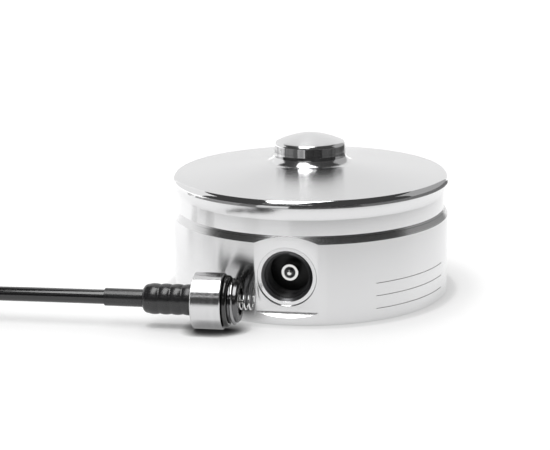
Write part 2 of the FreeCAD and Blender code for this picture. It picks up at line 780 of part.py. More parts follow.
def contact_spring(doc, d, pocket, turn):
    """Round wire wound along the plug's axis, seated in the insulator's pocket."""
    foot = pocket + d.spring_wire
    helix = doc.addObject("Part::Helix", "spring_turns")
    length = d.collar_length + d.nose_length + d.spring_proud - d.spring_wire - foot
    helix.setExpression("Pitch", d.spring_pitch.text)
    helix.setExpression("Height", length.text)
    helix.setExpression("Radius", d.spring_radius.text)
    wire = doc.addObject("Part::Circle", "spring_wire_section")
    wire.setExpression("Radius", d.spring_wire.text)
    wire.Placement.Rotation = Rotation(Vector(1, 0, 0), 90)
    wire.setExpression("Placement.Base.x", d.spring_radius.text)
    doc.recompute()
    spring = doc.addObject("Part::Sweep", "contact_spring")
    spring.Label = "contact_spring"
    spring.Sections = [wire]
    spring.Spine = (helix, ["Edge%d" % (index + 1) for index in range(len(helix.Shape.Edges))])
    spring.Solid = True
    spring.Frenet = True
    start, way = plug_line(d)
    spring.Placement = Placement(start + way * foot.number, turn)
    return spring


def cable_pieces(doc, d):
    """The straight lead, the tied coil and the tail, which lie in each other without overlap."""
    start, way = plug_line(d)
    lead_route = [start + way * d.stem_floor.number, Vector(*LEAD_BEND, start.z), LEAD_END]
    tail_route = TAIL_ROUTE + far_plug_line(d)
    radius = d.cable_radius.number
    cable = tube(doc, "cable", lead_route, cord_bends(lead_route), radius)
    tail = tube(doc, "cable_tail", tail_route, cord_bends(tail_route), radius)

    inner = d.coil_radius - d.coil_half_width
    outer = d.coil_radius + d.coil_half_width
    low = d.tie_thickness
    high = low + d.coil_height
    edge = d.coil_edge
    turns = turned(doc, "coil_turns", [
        (inner + edge, low),
        (outer - edge, low, edge, LEFT),
        (outer, low + edge),
        (outer, high - edge, edge, LEFT),
        (outer - edge, high),
        (inner + edge, high, edge, LEFT),
        (inner, high - edge),
        (inner, low + edge, edge, LEFT),
    ])
    turns.Placement.Base = COIL_CENTRE
    without_lead = doc.addObject("Part::Cut", "coil_without_lead")
    without_lead.Base = turns
    without_lead.Tool = cable
    coil = doc.addObject("Part::Cut", "cable_coil")
    coil.Label = "cable_coil"
    coil.Base = without_lead
    coil.Tool = tail
    return [cable, tail, coil, coil_ties(doc, d, inner, outer, high)]


def coil_ties(doc, d, inner, outer, high):
    """Flat bands, each closed round the coil's section."""
    body = new_body(doc, "coil_ties")
    near = inner - d.tie_slack
    far = outer + d.tie_slack
    band = d.tie_thickness
    half = d.tie_width * 0.5
    plate = body.newObject("PartDesign::AdditiveBox", "tie_block")
    plate.setExpression("Length", (far - near + band * 2).text)
    plate.setExpression("Width", d.tie_width.text)
    plate.setExpression("Height", (high + band).text)
    plate.setExpression("Placement.Base.x", (near - band).text)
    plate.setExpression("Placement.Base.y", (-half).text)
    doc.recompute()
    ring_pattern(body, plate, d.tie_count)
    doc.recompute()
    opening = body.newObject("PartDesign::SubtractiveBox", "tie_opening")
    opening.setExpression("Length", (far - near).text)
    opening.setExpression("Width", d.tie_width.text)
    opening.setExpression("Height", (high - band).text)
    opening.setExpression("Placement.Base.x", near.text)
    opening.setExpression("Placement.Base.y", (-half).text)
    opening.setExpression("Placement.Base.z", band.text)
    doc.recompute()
    ring_pattern(body, opening, d.tie_count)
    body.Placement = Placement(COIL_CENTRE, Rotation(Vector(0, 0, 1), FIRST_TIE))
    return body


def far_plug_coupling(doc, d, rear, front):
    """Coupling ring with finger grooves outside and bayonet slots from its rim."""
    edge = d.coupling_edge
    hole = d.far_nose_radius + d.coupling_gap
    body = turned(doc, "far_plug_coupling", [
        (hole, rear),
        (d.coupling_radius - edge, rear),
        (d.coupling_radius, rear + edge),
        (d.coupling_radius, front - edge),
        (d.coupling_radius - edge, front),
        (d.coupling_bore, front),
        (d.coupling_bore, rear + d.coupling_web),
        (hole, rear + d.coupling_web),
    ])
    doc.recompute()
    drill(doc, body, d.grip_groove_radius, rear, rear + d.grip_groove_length,
          d.coupling_radius + d.grip_groove_radius * 0.5, d.grip_groove_count)
    slot = body.newObject("PartDesign::SubtractiveBox", "bayonet_slot")
    slot.setExpression("Length", (d.coupling_radius - d.coupling_bore * 0.5).text)
    slot.setExpression("Width", (d.bayonet_radius * 2).text)
    slot.setExpression("Height", d.bayonet_reach.text)
    slot.setExpression("Placement.Base.x", (d.coupling_bore * 0.5).text)
    slot.setExpression("Placement.Base.y", (-d.bayonet_radius).text)
    slot.setExpression("Placement.Base.z", (front - d.bayonet_reach).text)
    doc.recompute()
    ring_pattern(body, slot, d.bayonet_count)
    return body


def far_plug_line(d):
    """The last run of the cable, at the height where the coupling ring rests on the floor."""
    return [Vector(x, y, d.coupling_radius.number) for x, y in TAIL_END]


def far_plug(doc, d):
    """Bayonet coaxial plug, drawn along its own axis from the rear of its crimped tube."""
    shoulder = d.ferrule_length
    nose = shoulder + d.far_flange_length
    tip = nose + d.far_nose_length
    bore_floor = nose + d.far_bore_floor
    insulator_front = bore_floor + d.far_insulator_length
    coupling_rear = nose + d.coupling_gap
    pieces = [
        turned(doc, "far_plug_ferrule", rod(d.cable_radius, d.ferrule_radius, ZERO, shoulder)),
        turned(doc, "far_plug_body", [
            (ZERO, shoulder),
            (d.far_flange_radius, shoulder),
            (d.far_flange_radius, nose),
            (d.far_nose_radius, nose),
            (d.far_nose_radius, tip),
            (d.far_bore, tip),
            (d.far_bore, bore_floor),
            (ZERO, bore_floor),
        ]),
        far_plug_coupling(doc, d, coupling_rear, coupling_rear + d.coupling_length),
        turned(doc, "far_plug_insulator", rod(d.far_pin_radius, d.far_bore, bore_floor, insulator_front)),
        turned(doc, "far_plug_pin", [
            (ZERO, bore_floor),
            (d.far_pin_radius, bore_floor),
            (d.far_pin_radius, insulator_front + d.far_pin_tip - d.far_pin_radius),
            (d.far_pin_radius * 0.4, insulator_front + d.far_pin_tip),
            (ZERO, insulator_front + d.far_pin_tip),
        ]),
    ]
    before, end = far_plug_line(d)
    way = (end - before).normalize()
    for piece in pieces:
        piece.Placement = Placement(end - way * d.ferrule_length.number, Rotation(Vector(0, 0, 1), way))
    return pieces


def check(doc, pieces):
    """Stop if any object failed or any piece is not a sound solid."""
    failed = [o.Name for o in doc.Objects if "Invalid" in o.State or "Error" in o.State]
    if failed:
        raise RuntimeError("failed objects: %s" % ", ".join(failed))
    for piece in pieces:
        if piece.Shape.isNull() or not piece.Shape.isValid() or not piece.Shape.Solids:
            raise RuntimeError("unsound shape: " + piece.Label)


def build(doc):
    d = sheet_of_sizes(doc)
    at = levels(d)
    makers = [
        load_body, base_cover, sensor_carrier, carrier_screws, ceramic_sensor, clamp_ring, clamp_screws,
        sensor_leads, circuit_board, board_components, board_standoffs, board_screws, signal_lead,
    ]
    pieces = [maker(doc, d, at) for maker in makers]
    pieces += feedthrough(doc, d, at)
    pieces += plug_pieces(doc, d)
    pieces += cable_pieces(doc, d)
    pieces += far_plug(doc, d)
    doc.recompute()
    return pieces


def main():
    doc = FreeCAD.newDocument("LoadCell")
    pieces = build(doc)
    check(doc, pieces)
    os.makedirs("parts", exist_ok=True)
    for piece in pieces:
        piece.Shape.exportStep("parts/%s.step" % piece.Label)
    print(len(pieces), "pieces written")


main()
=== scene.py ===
"""Visible pieces, finishes, light and camera of a compression load cell with its loose coaxial lead.

All places are in metres, in the frame of the solids: the middle of the cell's foot is the origin, +Z is up
and the lead socket faces -Y.
"""
import math
from collections import namedtuple
from functools import partial

import bmesh
import bpy
from bpy.props import FloatProperty, FloatVectorProperty, IntProperty, PointerProperty
from bpy.types import Operator, Panel, PropertyGroup
from mathutils import Matrix, Vector


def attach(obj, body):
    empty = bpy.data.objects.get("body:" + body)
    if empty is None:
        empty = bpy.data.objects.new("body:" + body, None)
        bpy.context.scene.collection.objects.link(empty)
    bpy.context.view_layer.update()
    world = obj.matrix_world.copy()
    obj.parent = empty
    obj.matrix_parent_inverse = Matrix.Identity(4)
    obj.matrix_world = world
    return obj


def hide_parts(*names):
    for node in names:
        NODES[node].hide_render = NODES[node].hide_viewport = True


bl_info = {
    "name": "Load Cell",
    "version": (1, 0, 0),
    "blender": (4, 5, 0),
    "location": "View3D > Sidebar > Load Cell",
    "description": "Builds a compression load cell with its lead, and a studio round it",
    "category": "Add Mesh",
}

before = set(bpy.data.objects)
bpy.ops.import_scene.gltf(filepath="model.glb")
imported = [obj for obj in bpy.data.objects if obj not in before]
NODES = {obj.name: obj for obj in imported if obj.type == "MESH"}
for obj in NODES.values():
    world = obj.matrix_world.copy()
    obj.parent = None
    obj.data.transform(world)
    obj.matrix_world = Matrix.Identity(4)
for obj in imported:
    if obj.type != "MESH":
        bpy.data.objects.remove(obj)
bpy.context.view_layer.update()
BODY = "root"

MM = 0.001
FULL_TURN = 2 * math.pi
ABOUT_Z = {"cent": (0, 0, 0), "axis": (0, 0, 1)}
SAME_POINT = 1e-7
SAME_HEIGHT = 1e-6
HOLE_STRETCH = 1.001
ON_AXIS = 1e-9
SENSOR_WIDTH = 36.0
NEAREST = 0.01
LEFT = 1
RIGHT = -1

# Routes of the cable, in metres. The lead leaves the plug along its axis, and the tail enters the far plug
# along its axis.
PLUG_REAR = Vector((-0.0302, -0.0564, 0.0096))
LEAD_BEND = Vector((-0.0942, -0.05785, 0.0096))
LEAD_END = Vector((-0.161, -0.05895, 0.0085))
TAIL_ROUTE = [
    Vector((-0.17425, -0.0566, 0.0035)),
    Vector((-0.192, -0.0501, 0.003)),
    Vector((-0.2092, -0.0342, 0.0036)),
    Vector((-0.211, -0.0102, 0.0072)),
    Vector((-0.211, 0.0138, 0.0072)),
]
COIL_CENTRE = Vector((-0.161, -0.0202, 0.0))

# Turned lines and wear: lines to a metre, or to a radian for the painted reflection streaks on the button,
# their lean on flat faces, and shares of the mottling.
TOOL_LINES = 5200.0
SHOULDER_LINES = 2000.0
BUTTON_REFLECTION_STREAKS = 34.0
BROAD_LINES = 0.13
TRACK_LEAN = 1.3
LINE_SHARE = 0.6
WEAR_SCALE = 40.0
FINE_GRAIN = 22.0
NOISE_RANGE = (0.3, 0.7)

# Parts of the steel with a finish of their own, and margins at their edges. The shoulder's turned grooves are
# painted dark as a painted reflection; they fade in between two angles from -Y towards +X, where the shoulder
# mirrors light.
HAIR = 0.05 * MM
SLIGHT = 0.1 * MM
MARGIN = 0.3 * MM
DOME_DEPTH = 4.0 * MM
FOOT_SHARE = 0.6
PANEL_FOOT = 1.6 * MM
PANEL_GAP = 1.0 * MM
LEAD_IN_DEPTH = 1.3 * MM
RULE_SUNK = 0.05 * MM
RULE_PROUD = 0.03 * MM
GROOVE_REFLECTION_FADE = (-0.85, -0.6)
# Painted reflection: grey of the shoulder's turned grooves, which stand for dark streaks in its mirror image.
GROOVE_REFLECTION_GREY = (0.2, 0.2, 0.2)
# Painted reflection: grey of the streaks on the button's wall.
REFLECTION_STREAK_GREY = (0.3, 0.3, 0.305)
# Painted shade: grey of the socket's lead-in.
LEAD_IN_SHADE_GREY = (0.17, 0.17, 0.175)
# Painted shade: black of the socket's bore.
BORE_SHADE_BLACK = (0.012, 0.012, 0.013)
# Painted shade: grey of the plug's nose and of the collar's front face.
PLUG_SHADE_GREY = (0.14, 0.14, 0.143)

# Colour, metal, roughness, scale of the clouds, share by which they darken, depth of the grain and gloss.
Finish = namedtuple("Finish", "rgb metallic rough grain depth bump specular", defaults=(0.5,))
FINISHES = {
    "bright_metal": Finish((0.82, 0.82, 0.81), 1.0, 0.16, 120.0, 0.08, 2e-6),
    "spring_steel": Finish((0.8, 0.8, 0.8), 1.0, 0.14, 300.0, 0.08, 2e-6),
    "screw_steel": Finish((0.6, 0.6, 0.6), 1.0, 0.28, 200.0, 0.1, 4e-6),
    "carrier_steel": Finish((0.66, 0.66, 0.66), 1.0, 0.32, 90.0, 0.1, 4e-6),
    "white_ceramic": Finish((0.9, 0.89, 0.86), 0.0, 0.55, 150.0, 0.04, 6e-6),
    "white_insulator": Finish((0.88, 0.88, 0.86), 0.0, 0.4, 150.0, 0.05, 4e-6),
    "wire_insulation": Finish((0.75, 0.75, 0.72), 0.0, 0.45, 150.0, 0.06, 4e-6),
    "board_laminate": Finish((0.04, 0.2, 0.1), 0.0, 0.35, 80.0, 0.2, 8e-6),
    "chip_plastic": Finish((0.03, 0.03, 0.03), 0.0, 0.5, 200.0, 0.2, 6e-6),
    "line_ink": Finish((0.2, 0.2, 0.2), 0.0, 0.6, 200.0, 0.3, 2e-6),
    "seal_glass": Finish((0.02, 0.02, 0.025), 0.0, 0.08, 200.0, 0.2, 2e-6),
    "seal_rubber": Finish((0.008, 0.008, 0.008), 0.0, 0.12, 250.0, 0.2, 3e-6, 1.0),
    "tie_plastic": Finish((0.05, 0.05, 0.05), 0.0, 0.85, 300.0, 0.4, 6e-5),
    "sleeve_plastic": Finish(None, 0.0, 0.24, 160.0, 0.25, 1.2e-5, 0.65),
    "cable_jacket": Finish(None, 0.0, 0.1, 120.0, 0.2, 3e-6, 0.75),
    "card_black": Finish((0.03, 0.03, 0.03), 0.0, 0.9, 20.0, 0.2, 1e-5),
}
CARD_GREY = Finish((0.05, 0.05, 0.05), 0.0, 0.9, 20.0, 0.2, 1e-5)
INSIDE = {
    "carrier_steel": ["sensor_carrier", "clamp_ring"],
    "screw_steel": ["carrier_screws", "clamp_screws", "board_screws"],
    "white_ceramic": ["ceramic_sensor"],
    "wire_insulation": ["sensor_leads", "signal_lead"],
    "board_laminate": ["circuit_board"],
    "chip_plastic": ["board_components"],
    "bright_metal": [
        "board_standoffs", "far_plug_ferrule", "far_plug_body", "far_plug_coupling", "far_plug_pin"],
    "white_insulator": ["far_plug_insulator"],
}

# A thread's ridge: half of its foot as a share of the pitch, its crest as a share of its foot, and the turns
# that the socket's thread leaves free.
RIDGE_SHARE = 0.42
CREST_SHARE = 0.25
THREAD_RUNOUT = 2.1

# Round at the end of the contact pin, as a share of its radius.
PIN_ROUND = 0.6

# Floor, in metres: where its own light grows, how far its painted shade reaches, the edges of the cell and
# the coil, and a strip along the coil's near edge where painted light hides the coil's shadow.
FLOOR_WHITE = (0.46, 0.46, 0.46)
FLOOR_SHADOW_GREY = (0.03, 0.03, 0.03)
FLOOR_CLOUDS = 6.0
GLOW_REACH = (0.15, 0.8)
SKY_REACH = 0.022
CONTACT_REACH = 0.005
CONTACT_DEPTH = 3.0
DEEP_SHADE = 0.35
MIRROR_SHADE = 0.5
CELL_EDGE = (0.051, 0.06)
COIL_EDGE = (-0.128, -0.106)
# Painted light over the coil's shadow: more glow under the coil in mirror images, and in a strip along its
# edge.
COIL_MIRRORED = 1.15
STRIP_PLACE = -0.126
STRIP_EDGE = (0.01, 0.022)
STRIP_LIGHT = 1.6

# Lights in the camera's azimuth: place, point that they face, width, height, setting of their power and turn.
Lamp = namedtuple("Lamp", "place target width height power spin", defaults=(0.0,))
LAMPS = {
    "key": Lamp((-0.448, -0.571, 2.1), (-0.448, -0.571, 0.0), 0.91, 2.16, "key_power", -20.0),
    "back_wall": Lamp((0.0, 1.6, 2.0), (0.0, 0.0, 2.0), 1.9, 4.0, "back_power"),
    "left_wall": Lamp((-1.334, 0.883, 0.725), (0.0, 0.0, 0.725), 1.6, 1.45, "left_power"),
    "front_bar": Lamp((-0.26, -0.74, 0.47), (0.0, 0.0, 0.0), 0.6, 0.05, "front_power"),
    "side_card": Lamp((1.135, 0.629, 0.7), (0.0, 0.0, 0.7), 1.56, 1.3, "side_power"),
}


def length(label, what, millimetres):
    """A size that is kept in metres and given here in millimetres."""
    return FloatProperty(name=label, description=what, default=millimetres * MM, unit="LENGTH", precision=5)


def turn_angle(label, what, degrees):
    return FloatProperty(name=label, description=what, default=math.radians(degrees), subtype="ANGLE")


def colour(label, what, red, green, blue):
    return FloatVectorProperty(
        name=label, description=what, default=(red, green, blue), subtype="COLOR", size=3, min=0.0, max=1.0)


def amount(label, what, value):
    return FloatProperty(name=label, description=what, default=value)


def number(label, what, value, least):
    return IntProperty(name=label, description=what, default=value, min=least)


class LOADCELL_PG_body(PropertyGroup):
    """Outside of the turned body."""
    wall_radius: length("Wall radius", "Lower wall", 50.0)
    base_chamfer: length("Base chamfer", "Edge of the foot", 0.4)
    shoulder_low: length("Shoulder low", "Height where the wall ends", 28.4)
    shoulder_high: length("Shoulder high", "Height where the band begins", 31.1)
    band_radius: length("Band radius", "Recessed band", 48.6)
    band_top: length("Band top", "Height where the cove begins", 36.7)
    cove_radius: length("Cove radius", "Hollow under the lip", 8.0)
    lip_radius: length("Lip radius", "Lip round the top plate", 50.2)
    lip_under: length("Lip under", "Height of the lip's lower edge", 40.75)
    lip_round: length("Lip round", "Upper edge of the lip", 2.2)
    plate_top: length("Plate top", "Height of the top plate at the lip", 43.6)
    plate_rise: length("Plate rise", "Slope of the top plate, from the lip up to the button's foot", 3.45)
    button_radius: length("Button radius", "Load button", 12.9)
    button_top: length("Button top", "Height of the button", 57.55)
    button_edge: length("Button edge", "Rounded rim of the button", 1.5)
    crown_radius: length("Crown radius", "Dome of the button", 28.1)
    foot_radius: length("Foot radius", "Hollow round at the button's foot", 3.9)
    rule_start: turn_angle("Rule start", "Start of the rule lines, from -Y towards +X", 36.3)
    rule_sweep: turn_angle("Rule sweep", "Length of the rule lines round the wall", 42.0)
    rule_pitch: length("Rule pitch", "From one rule line to the next", 4.5)
    rule_width: length("Rule width", "Rule lines", 0.22)
    rule_count: number("Rule count", "Rule lines", 3, 0)
    panel_start: turn_angle("Panel start", "Matt panel on the wall, from -Y towards +X", 16.0)
    panel_stop: turn_angle("Panel stop", "Matt panel on the wall, from -Y towards +X", 88.0)
    steel: colour("Steel", "Turned stainless steel", 0.78, 0.78, 0.785)


class LOADCELL_PG_cavity(PropertyGroup):
    """Inside of the turned body."""
    cover_radius: length("Cover radius", "Recess for the base cover", 40.0)
    cover_top: length("Cover top", "Height of that recess", 3.4)
    radius: length("Cavity radius", "Lower cavity", 34.0)
    ledge: length("Ledge", "Height of the carrier's seat", 24.2)
    chamber_radius: length("Chamber radius", "Upper cavity", 27.0)
    roof: length("Roof", "Underside of the top plate", 33.0)
    boss_radius: length("Boss radius", "Boss under the button", 9.0)
    boss_low: length("Boss low", "Underside of the boss", 26.5)
    screw_circle: length("Screw circle", "Carrier screws from the axis", 30.5)
    screw_hole: length("Screw hole", "Radius of the carrier screw holes", 1.6)
    screw_depth: length("Screw depth", "Depth of the carrier screw holes", 7.1)
    screw_count: number("Screw count", "Carrier screws", 6, 1)
    weld_radius: length("Weld radius", "Weld bead round the cover", 0.28)
    weld_height: length("Weld height", "Middle of the weld bead above the floor", 0.392)


class LOADCELL_PG_socket(PropertyGroup):
    """Milled flat, socket and feedthrough."""
    flat_distance: length("Flat distance", "Flat from the axis", 48.75)
    flat_foot: length("Flat foot", "Height of the flat's lower edge", 4.3)
    ramp_foot: length("Ramp foot", "Height where the ramp meets the wall", 2.7)
    height: length("Socket height", "Socket axis above the floor", 16.8)
    spot_radius: length("Spot radius", "Spot face round the socket", 10.1)
    spot_depth: length("Spot depth", "Spot face below the flat", 0.5)
    spot_rim: length("Spot rim", "Rounded edge of the spot face", 0.42)
    foot_hollow: length("Foot hollow", "Hollow round between flat and ramp", 0.7)
    mouth_radius: length("Mouth radius", "Lead-in chamfer", 8.95)
    bore_radius: length("Bore radius", "Socket bore", 8.0)
    depth: length("Depth", "Socket floor below the flat", 11.5)
    thread_pitch: length("Thread pitch", "One turn of the thread", 1.5)
    thread_height: length("Thread height", "Ridges in the bore and on the nose", 0.85)
    eyelet_radius: length("Eyelet radius", "Metal ring", 3.1)
    eyelet_edge: length("Eyelet edge", "Rounded rim of the ring", 0.3)
    eyelet_depth: length("Eyelet depth", "Ring face below the flat", 6.0)
    eyelet_end: length("Eyelet end", "Inner end of the ring from the cell's axis", 33.0)
    glass_radius: length("Glass radius", "Glass seal", 1.8)
    glass_sink: length("Glass sink", "Glass below the ring face", 0.8)
    pin_radius: length("Pin radius", "Contact pin", 1.1)
    pin_proud: length("Pin proud", "Pin in front of the ring face", 1.3)
    pin_end: length("Pin end", "Inner end of the pin from the cell's axis", 30.5)


class LOADCELL_PG_plug(PropertyGroup):
    """Plug that lies unscrewed in front of the cell, along its own axis from the collar's rear face."""
    collar_radius: length("Collar radius", "Plug collar", 9.6)
    collar_length: length("Collar length", "Plug collar", 10.4)
    collar_chamfer: length("Collar chamfer", "Edges of the collar", 0.4)
    seal_radius: length("Seal radius", "Groove of the sealing ring", 7.0)
    seal_section: length("Seal section", "Sealing ring's cord", 1.9)
    nose_length: length("Nose length", "Nose in front of the collar", 5.3)
    nose_root: length("Nose root", "Root of the nose thread", 7.1)
    nose_chamfer: length("Nose chamfer", "Tip of the nose", 0.6)
    nose_bore: length("Nose bore", "Bore for the insulator", 4.6)
    nose_bore_depth: length("Nose bore depth", "Bore behind the tip", 11.0)
    insulator_sink: length("Insulator sink", "Insulator behind the tip", 2.2)
    pocket_radius: length("Pocket radius", "Pocket for the spring", 3.0)
    pocket_depth: length("Pocket depth", "Pocket for the spring", 4.0)
    spring_radius: length("Spring radius", "Middle of the spring wire", 2.42)
    spring_wire: length("Spring wire", "Radius of the spring wire", 0.33)
    spring_pitch: length("Spring pitch", "One turn of the spring", 1.67)
    spring_proud: length("Spring proud", "Spring in front of the nose", 5.0)
    contact_radius: length("Contact radius", "Centre contact", 0.9)
    contact_tip: length("Contact tip", "Centre contact in front of the nose", 1.5)
    stem_radius: length("Stem radius", "Rings of the stem", 4.4)
    stem_root: length("Stem root", "Grooves between the rings", 3.9)
    stem_groove: length("Stem groove", "Groove between two rings", 1.2)
    stem_floor: length("Stem floor", "Cable end in front of the rear face", 2.0)
    rib_pitch: length("Rib pitch", "Rings and ribs along the stem", 3.95)
    rib_count: number("Rib count", "Rings and ribs", 4, 1)
    sleeve_wall: length("Sleeve wall", "Sleeve over the stem's rings", 0.6)
    rib_swell: length("Rib swell", "Sleeve ribs above their valleys", 0.3)
    sleeve_neck: length("Sleeve neck", "Sleeve on the cable", 3.05)
    sleeve_neck_length: length("Sleeve neck length", "Sleeve on the cable", 13.5)
    steel: colour("Steel", "Turned steel of the plug", 0.69, 0.69, 0.695)
    # Darker copy of the plug's steel: painted shade on the thread.
    thread: colour("Thread", "Steel of the plug's thread", 0.34, 0.34, 0.345)


class LOADCELL_PG_cable(PropertyGroup):
    """Coaxial cable and the coil of its put-away length."""
    radius: length("Radius", "Cable", 2.5)
    whole_length: length("Length", "From plug to plug", 2730.0)
    lane: length("Lane", "From one turn to the next", 5.0)
    outer_turn: length("Outer turn", "Radius of the outermost turn", 38.75)
    lowest_turn: length("Lowest turn", "Height of the lowest layer", 3.5)
    points_per_turn: number("Points per turn", "Along one turn of the coil", 16, 12)
    tie_thickness: length("Tie thickness", "Band round the coil", 1.0)
    tie_width: length("Tie width", "Band round the coil", 7.0)
    tie_near: length("Tie near", "Inner side of a band from the coil's middle", 17.4)
    tie_far: length("Tie far", "Outer side of a band from the coil's middle", 42.6)
    tie_corner: length("Tie corner", "Rounded corners of a band", 2.2)
    tie_top: length("Tie top", "Top of a band", 22.0)
    first_tie: turn_angle("First tie", "From the X axis", 22.0)
    tie_count: number("Tie count", "Bands", 3, 1)
    jacket: colour("Jacket", "Cable jacket", 0.012, 0.012, 0.013)
    sleeve: colour("Sleeve", "Shrink tube", 0.022, 0.022, 0.023)


class LOADCELL_PG_stage(PropertyGroup):
    """Camera, light and floor."""
    azimuth: turn_angle("Azimuth", "Camera round the cell, from -Y towards +X", 9.76)
    elevation: turn_angle("Elevation", "Camera above the floor, seen from the cell's foot", 15.955)
    distance: length("Distance", "Camera from the cell's foot", 580.7)
    pitch: turn_angle("Pitch", "Camera looks down", 13.722)
    yaw: turn_angle("Yaw", "Camera looks right", -1.341)
    roll: turn_angle("Roll", "Camera tilts", -0.719)
    focal: amount("Focal length", "In millimetres on a 36 mm wide sensor", 102.34)
    floor_size: length("Floor size", "Half of the floor's side", 4000.0)
    floor_glow: amount("Floor glow", "Light that the floor gives by itself near the cell", 0.66)
    key_power: amount("Key power", "Strip of light above the cell, in watts", 34.0)
    back_power: amount("Back power", "High light behind the cell, in watts", 20.4)
    left_power: amount("Left power", "Low light behind the cell on the left, in watts", 6.6)
    front_power: amount("Front power", "Thin bar in front on the left, in watts", 0.11)
    dim_glow: amount("Dim glow", "Light of the dim card", 0.11)
    pale_glow: amount("Pale glow", "Light of the paler card", 0.27)
    light_glow: amount("Light glow", "Light of the light card", 0.8)
    room_light: amount("Room light", "Light from everywhere else", 0.06)
    flag_start: length("Flag start", "Inner edge of the dark card that only reflections show", 197.0)
    flag_stop: length("Flag stop", "Outer edge of that card", 3900.0)
    flag_left: turn_angle("Flag left", "Card towards the left of the camera", 98.0)
    flag_right: turn_angle("Flag right", "Card towards the right of the camera", 147.0)
    flag_far: turn_angle("Flag far", "Outer part of the card towards the left of the camera", 89.0)
    dim_right: turn_angle("Dim right", "Start of the card's dim part, right of the camera", 38.0)
    pale_left: turn_angle("Pale left", "Start of the card's paler part, left of the camera", 54.0)
    gap_start: length("Gap start", "Inner edge of the light part of that card", 240.0)
    gap_left: turn_angle("Gap left", "Start of the light part, left of the camera", 40.0)
    gap_right: turn_angle("Gap right", "End of the light part", 16.0)
    side_power: amount("Side power", "Dim card on the right, in watts", 2.4)


def outline(corners, steps):
    """Points of a closed outline through corners: (x, y), or (x, y, radius, side) before an arc."""
    points = []
    for here, there in zip(corners, corners[1:] + corners[:1]):
        start = Vector(here[:2])
        points.append(start)
        if len(here) > 2:
            radius, side = here[2:]
            chord = Vector(there[:2]) - start
            half = chord.length / 2
            normal = Vector((-chord.y, chord.x)).normalized() * side
            centre = start + chord / 2 + normal * math.sqrt(max(radius * radius - half * half, 0.0))
            sweep = side * 2 * math.asin(min(half / radius, 1.0))
            arm = start - centre
            points += [centre + Matrix.Rotation(sweep * k / steps, 2) @ arm for k in range(1, steps)]
    return points


def wire_loop(bm, points):
    """A closed loop of edges in the XZ plane, left open along the Z axis."""
    ring = [bm.verts.new((x, 0, z)) for x, z in points]
    edges = []
    for a, b in zip(ring, ring[1:] + ring[:1]):
        if max(a.co.x, b.co.x) > ON_AXIS:
            edges.append(bm.edges.new((a, b)))
    return ring + edges


def turned(points, steps=64):
    """Spin an outline of radii and heights about Z into a closed mesh."""
    bm = bmesh.new()
    loop = wire_loop(bm, points)
    bmesh.ops.spin(bm, geom=loop, **ABOUT_Z, angle=FULL_TURN, steps=steps, use_merge=True)
    bmesh.ops.remove_doubles(bm, verts=bm.verts, dist=SAME_POINT)
    bmesh.ops.recalc_face_normals(bm, faces=bm.faces)
    return bm


def wound(points, pitch, turns, steps):
    """Wind an outline of radii and heights about Z into a closed ridge or wire."""
    bm = bmesh.new()
    loop = wire_loop(bm, points)
    rise = (0, 0, pitch / steps)
    bmesh.ops.spin(bm, geom=loop, **ABOUT_Z, dvec=rise, angle=FULL_TURN * turns, steps=round(steps * turns))
    ends = [edge for edge in bm.edges if edge.is_boundary]
    bmesh.ops.holes_fill(bm, edges=ends)
    bmesh.ops.recalc_face_normals(bm, faces=bm.faces)
    return bm


def round_wire(middle, radius, height, corners=10):
    """Outline of a round section whose middle lies at a radius from the axis and at a height."""
    angles = [FULL_TURN * k / corners for k in range(corners)]
    return [(middle + radius * math.cos(a), height + radius * math.sin(a)) for a in angles]


def thread_ridge(root, crest, middle, pitch):
    """Section of a thread's ridge."""
    half = pitch * RIDGE_SHARE
    flat = half * CREST_SHARE
    return [(root, middle - half), (crest, middle - flat), (crest, middle + flat), (root, middle + half)]


def pushed(bm, grown, way):
    """Move what an extrusion has grown."""
    moved = [v for v in grown["geom"] if isinstance(v, bmesh.types.BMVert)]
    bmesh.ops.translate(bm, verts=moved, vec=way)
    bmesh.ops.recalc_face_normals(bm, faces=bm.faces)


def rounded(bm, geom, radius, kind):
    bmesh.ops.bevel(bm, geom=geom, offset=radius, affect=kind, segments=6, profile=0.5, material=-1)


def along(origin, way):
    """Carry a piece that was made along Z to a point, pointing a way."""
    return Matrix.Translation(origin) @ Vector(way).to_track_quat("Z", "Y").to_matrix().to_4x4()


def plug_way():
    return (PLUG_REAR - LEAD_BEND).normalized()


def plug_place():
    return along(PLUG_REAR, plug_way())


def socket_place(s):
    return along((0, -s.flat_distance, s.height), (0, -1, 0))


def smooth(mesh, crease):
    mesh.shade_smooth()
    mesh.set_sharp_from_angle(angle=math.radians(crease))


def to_mesh(bm, name):
    mesh = bpy.data.meshes.new(name)
    bm.to_mesh(mesh)
    bm.free()
    return mesh


def linked(name, data):
    """A new object in the scene."""
    item = bpy.data.objects.new(name, data)
    bpy.context.scene.collection.objects.link(item)
    return item


def stage_sheet(bm, name, material):
    """Make an object of a bmesh that belongs to the stage."""
    mesh = to_mesh(bm, name)
    mesh.materials.append(material)
    sheet = linked(name, mesh)
    return sheet


def add_piece(bm, name, material, slot, stands_for=(), crease=25, place=None):
    """Make an object of a bmesh in its place, give it its finish and let it ride on the body."""
    if place is not None:
        bm.transform(place)
    mesh = to_mesh(bm, name)
    mesh.materials.append(material)
    smooth(mesh, crease)
    piece = linked(name, mesh)
    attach(piece, BODY)
    if stands_for:
        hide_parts(*stands_for)
    return piece


def gather(whole, bm):
    """Add one bmesh to another."""
    mesh = to_mesh(bm, "part")
    whole.from_mesh(mesh)
    bpy.data.meshes.remove(mesh)


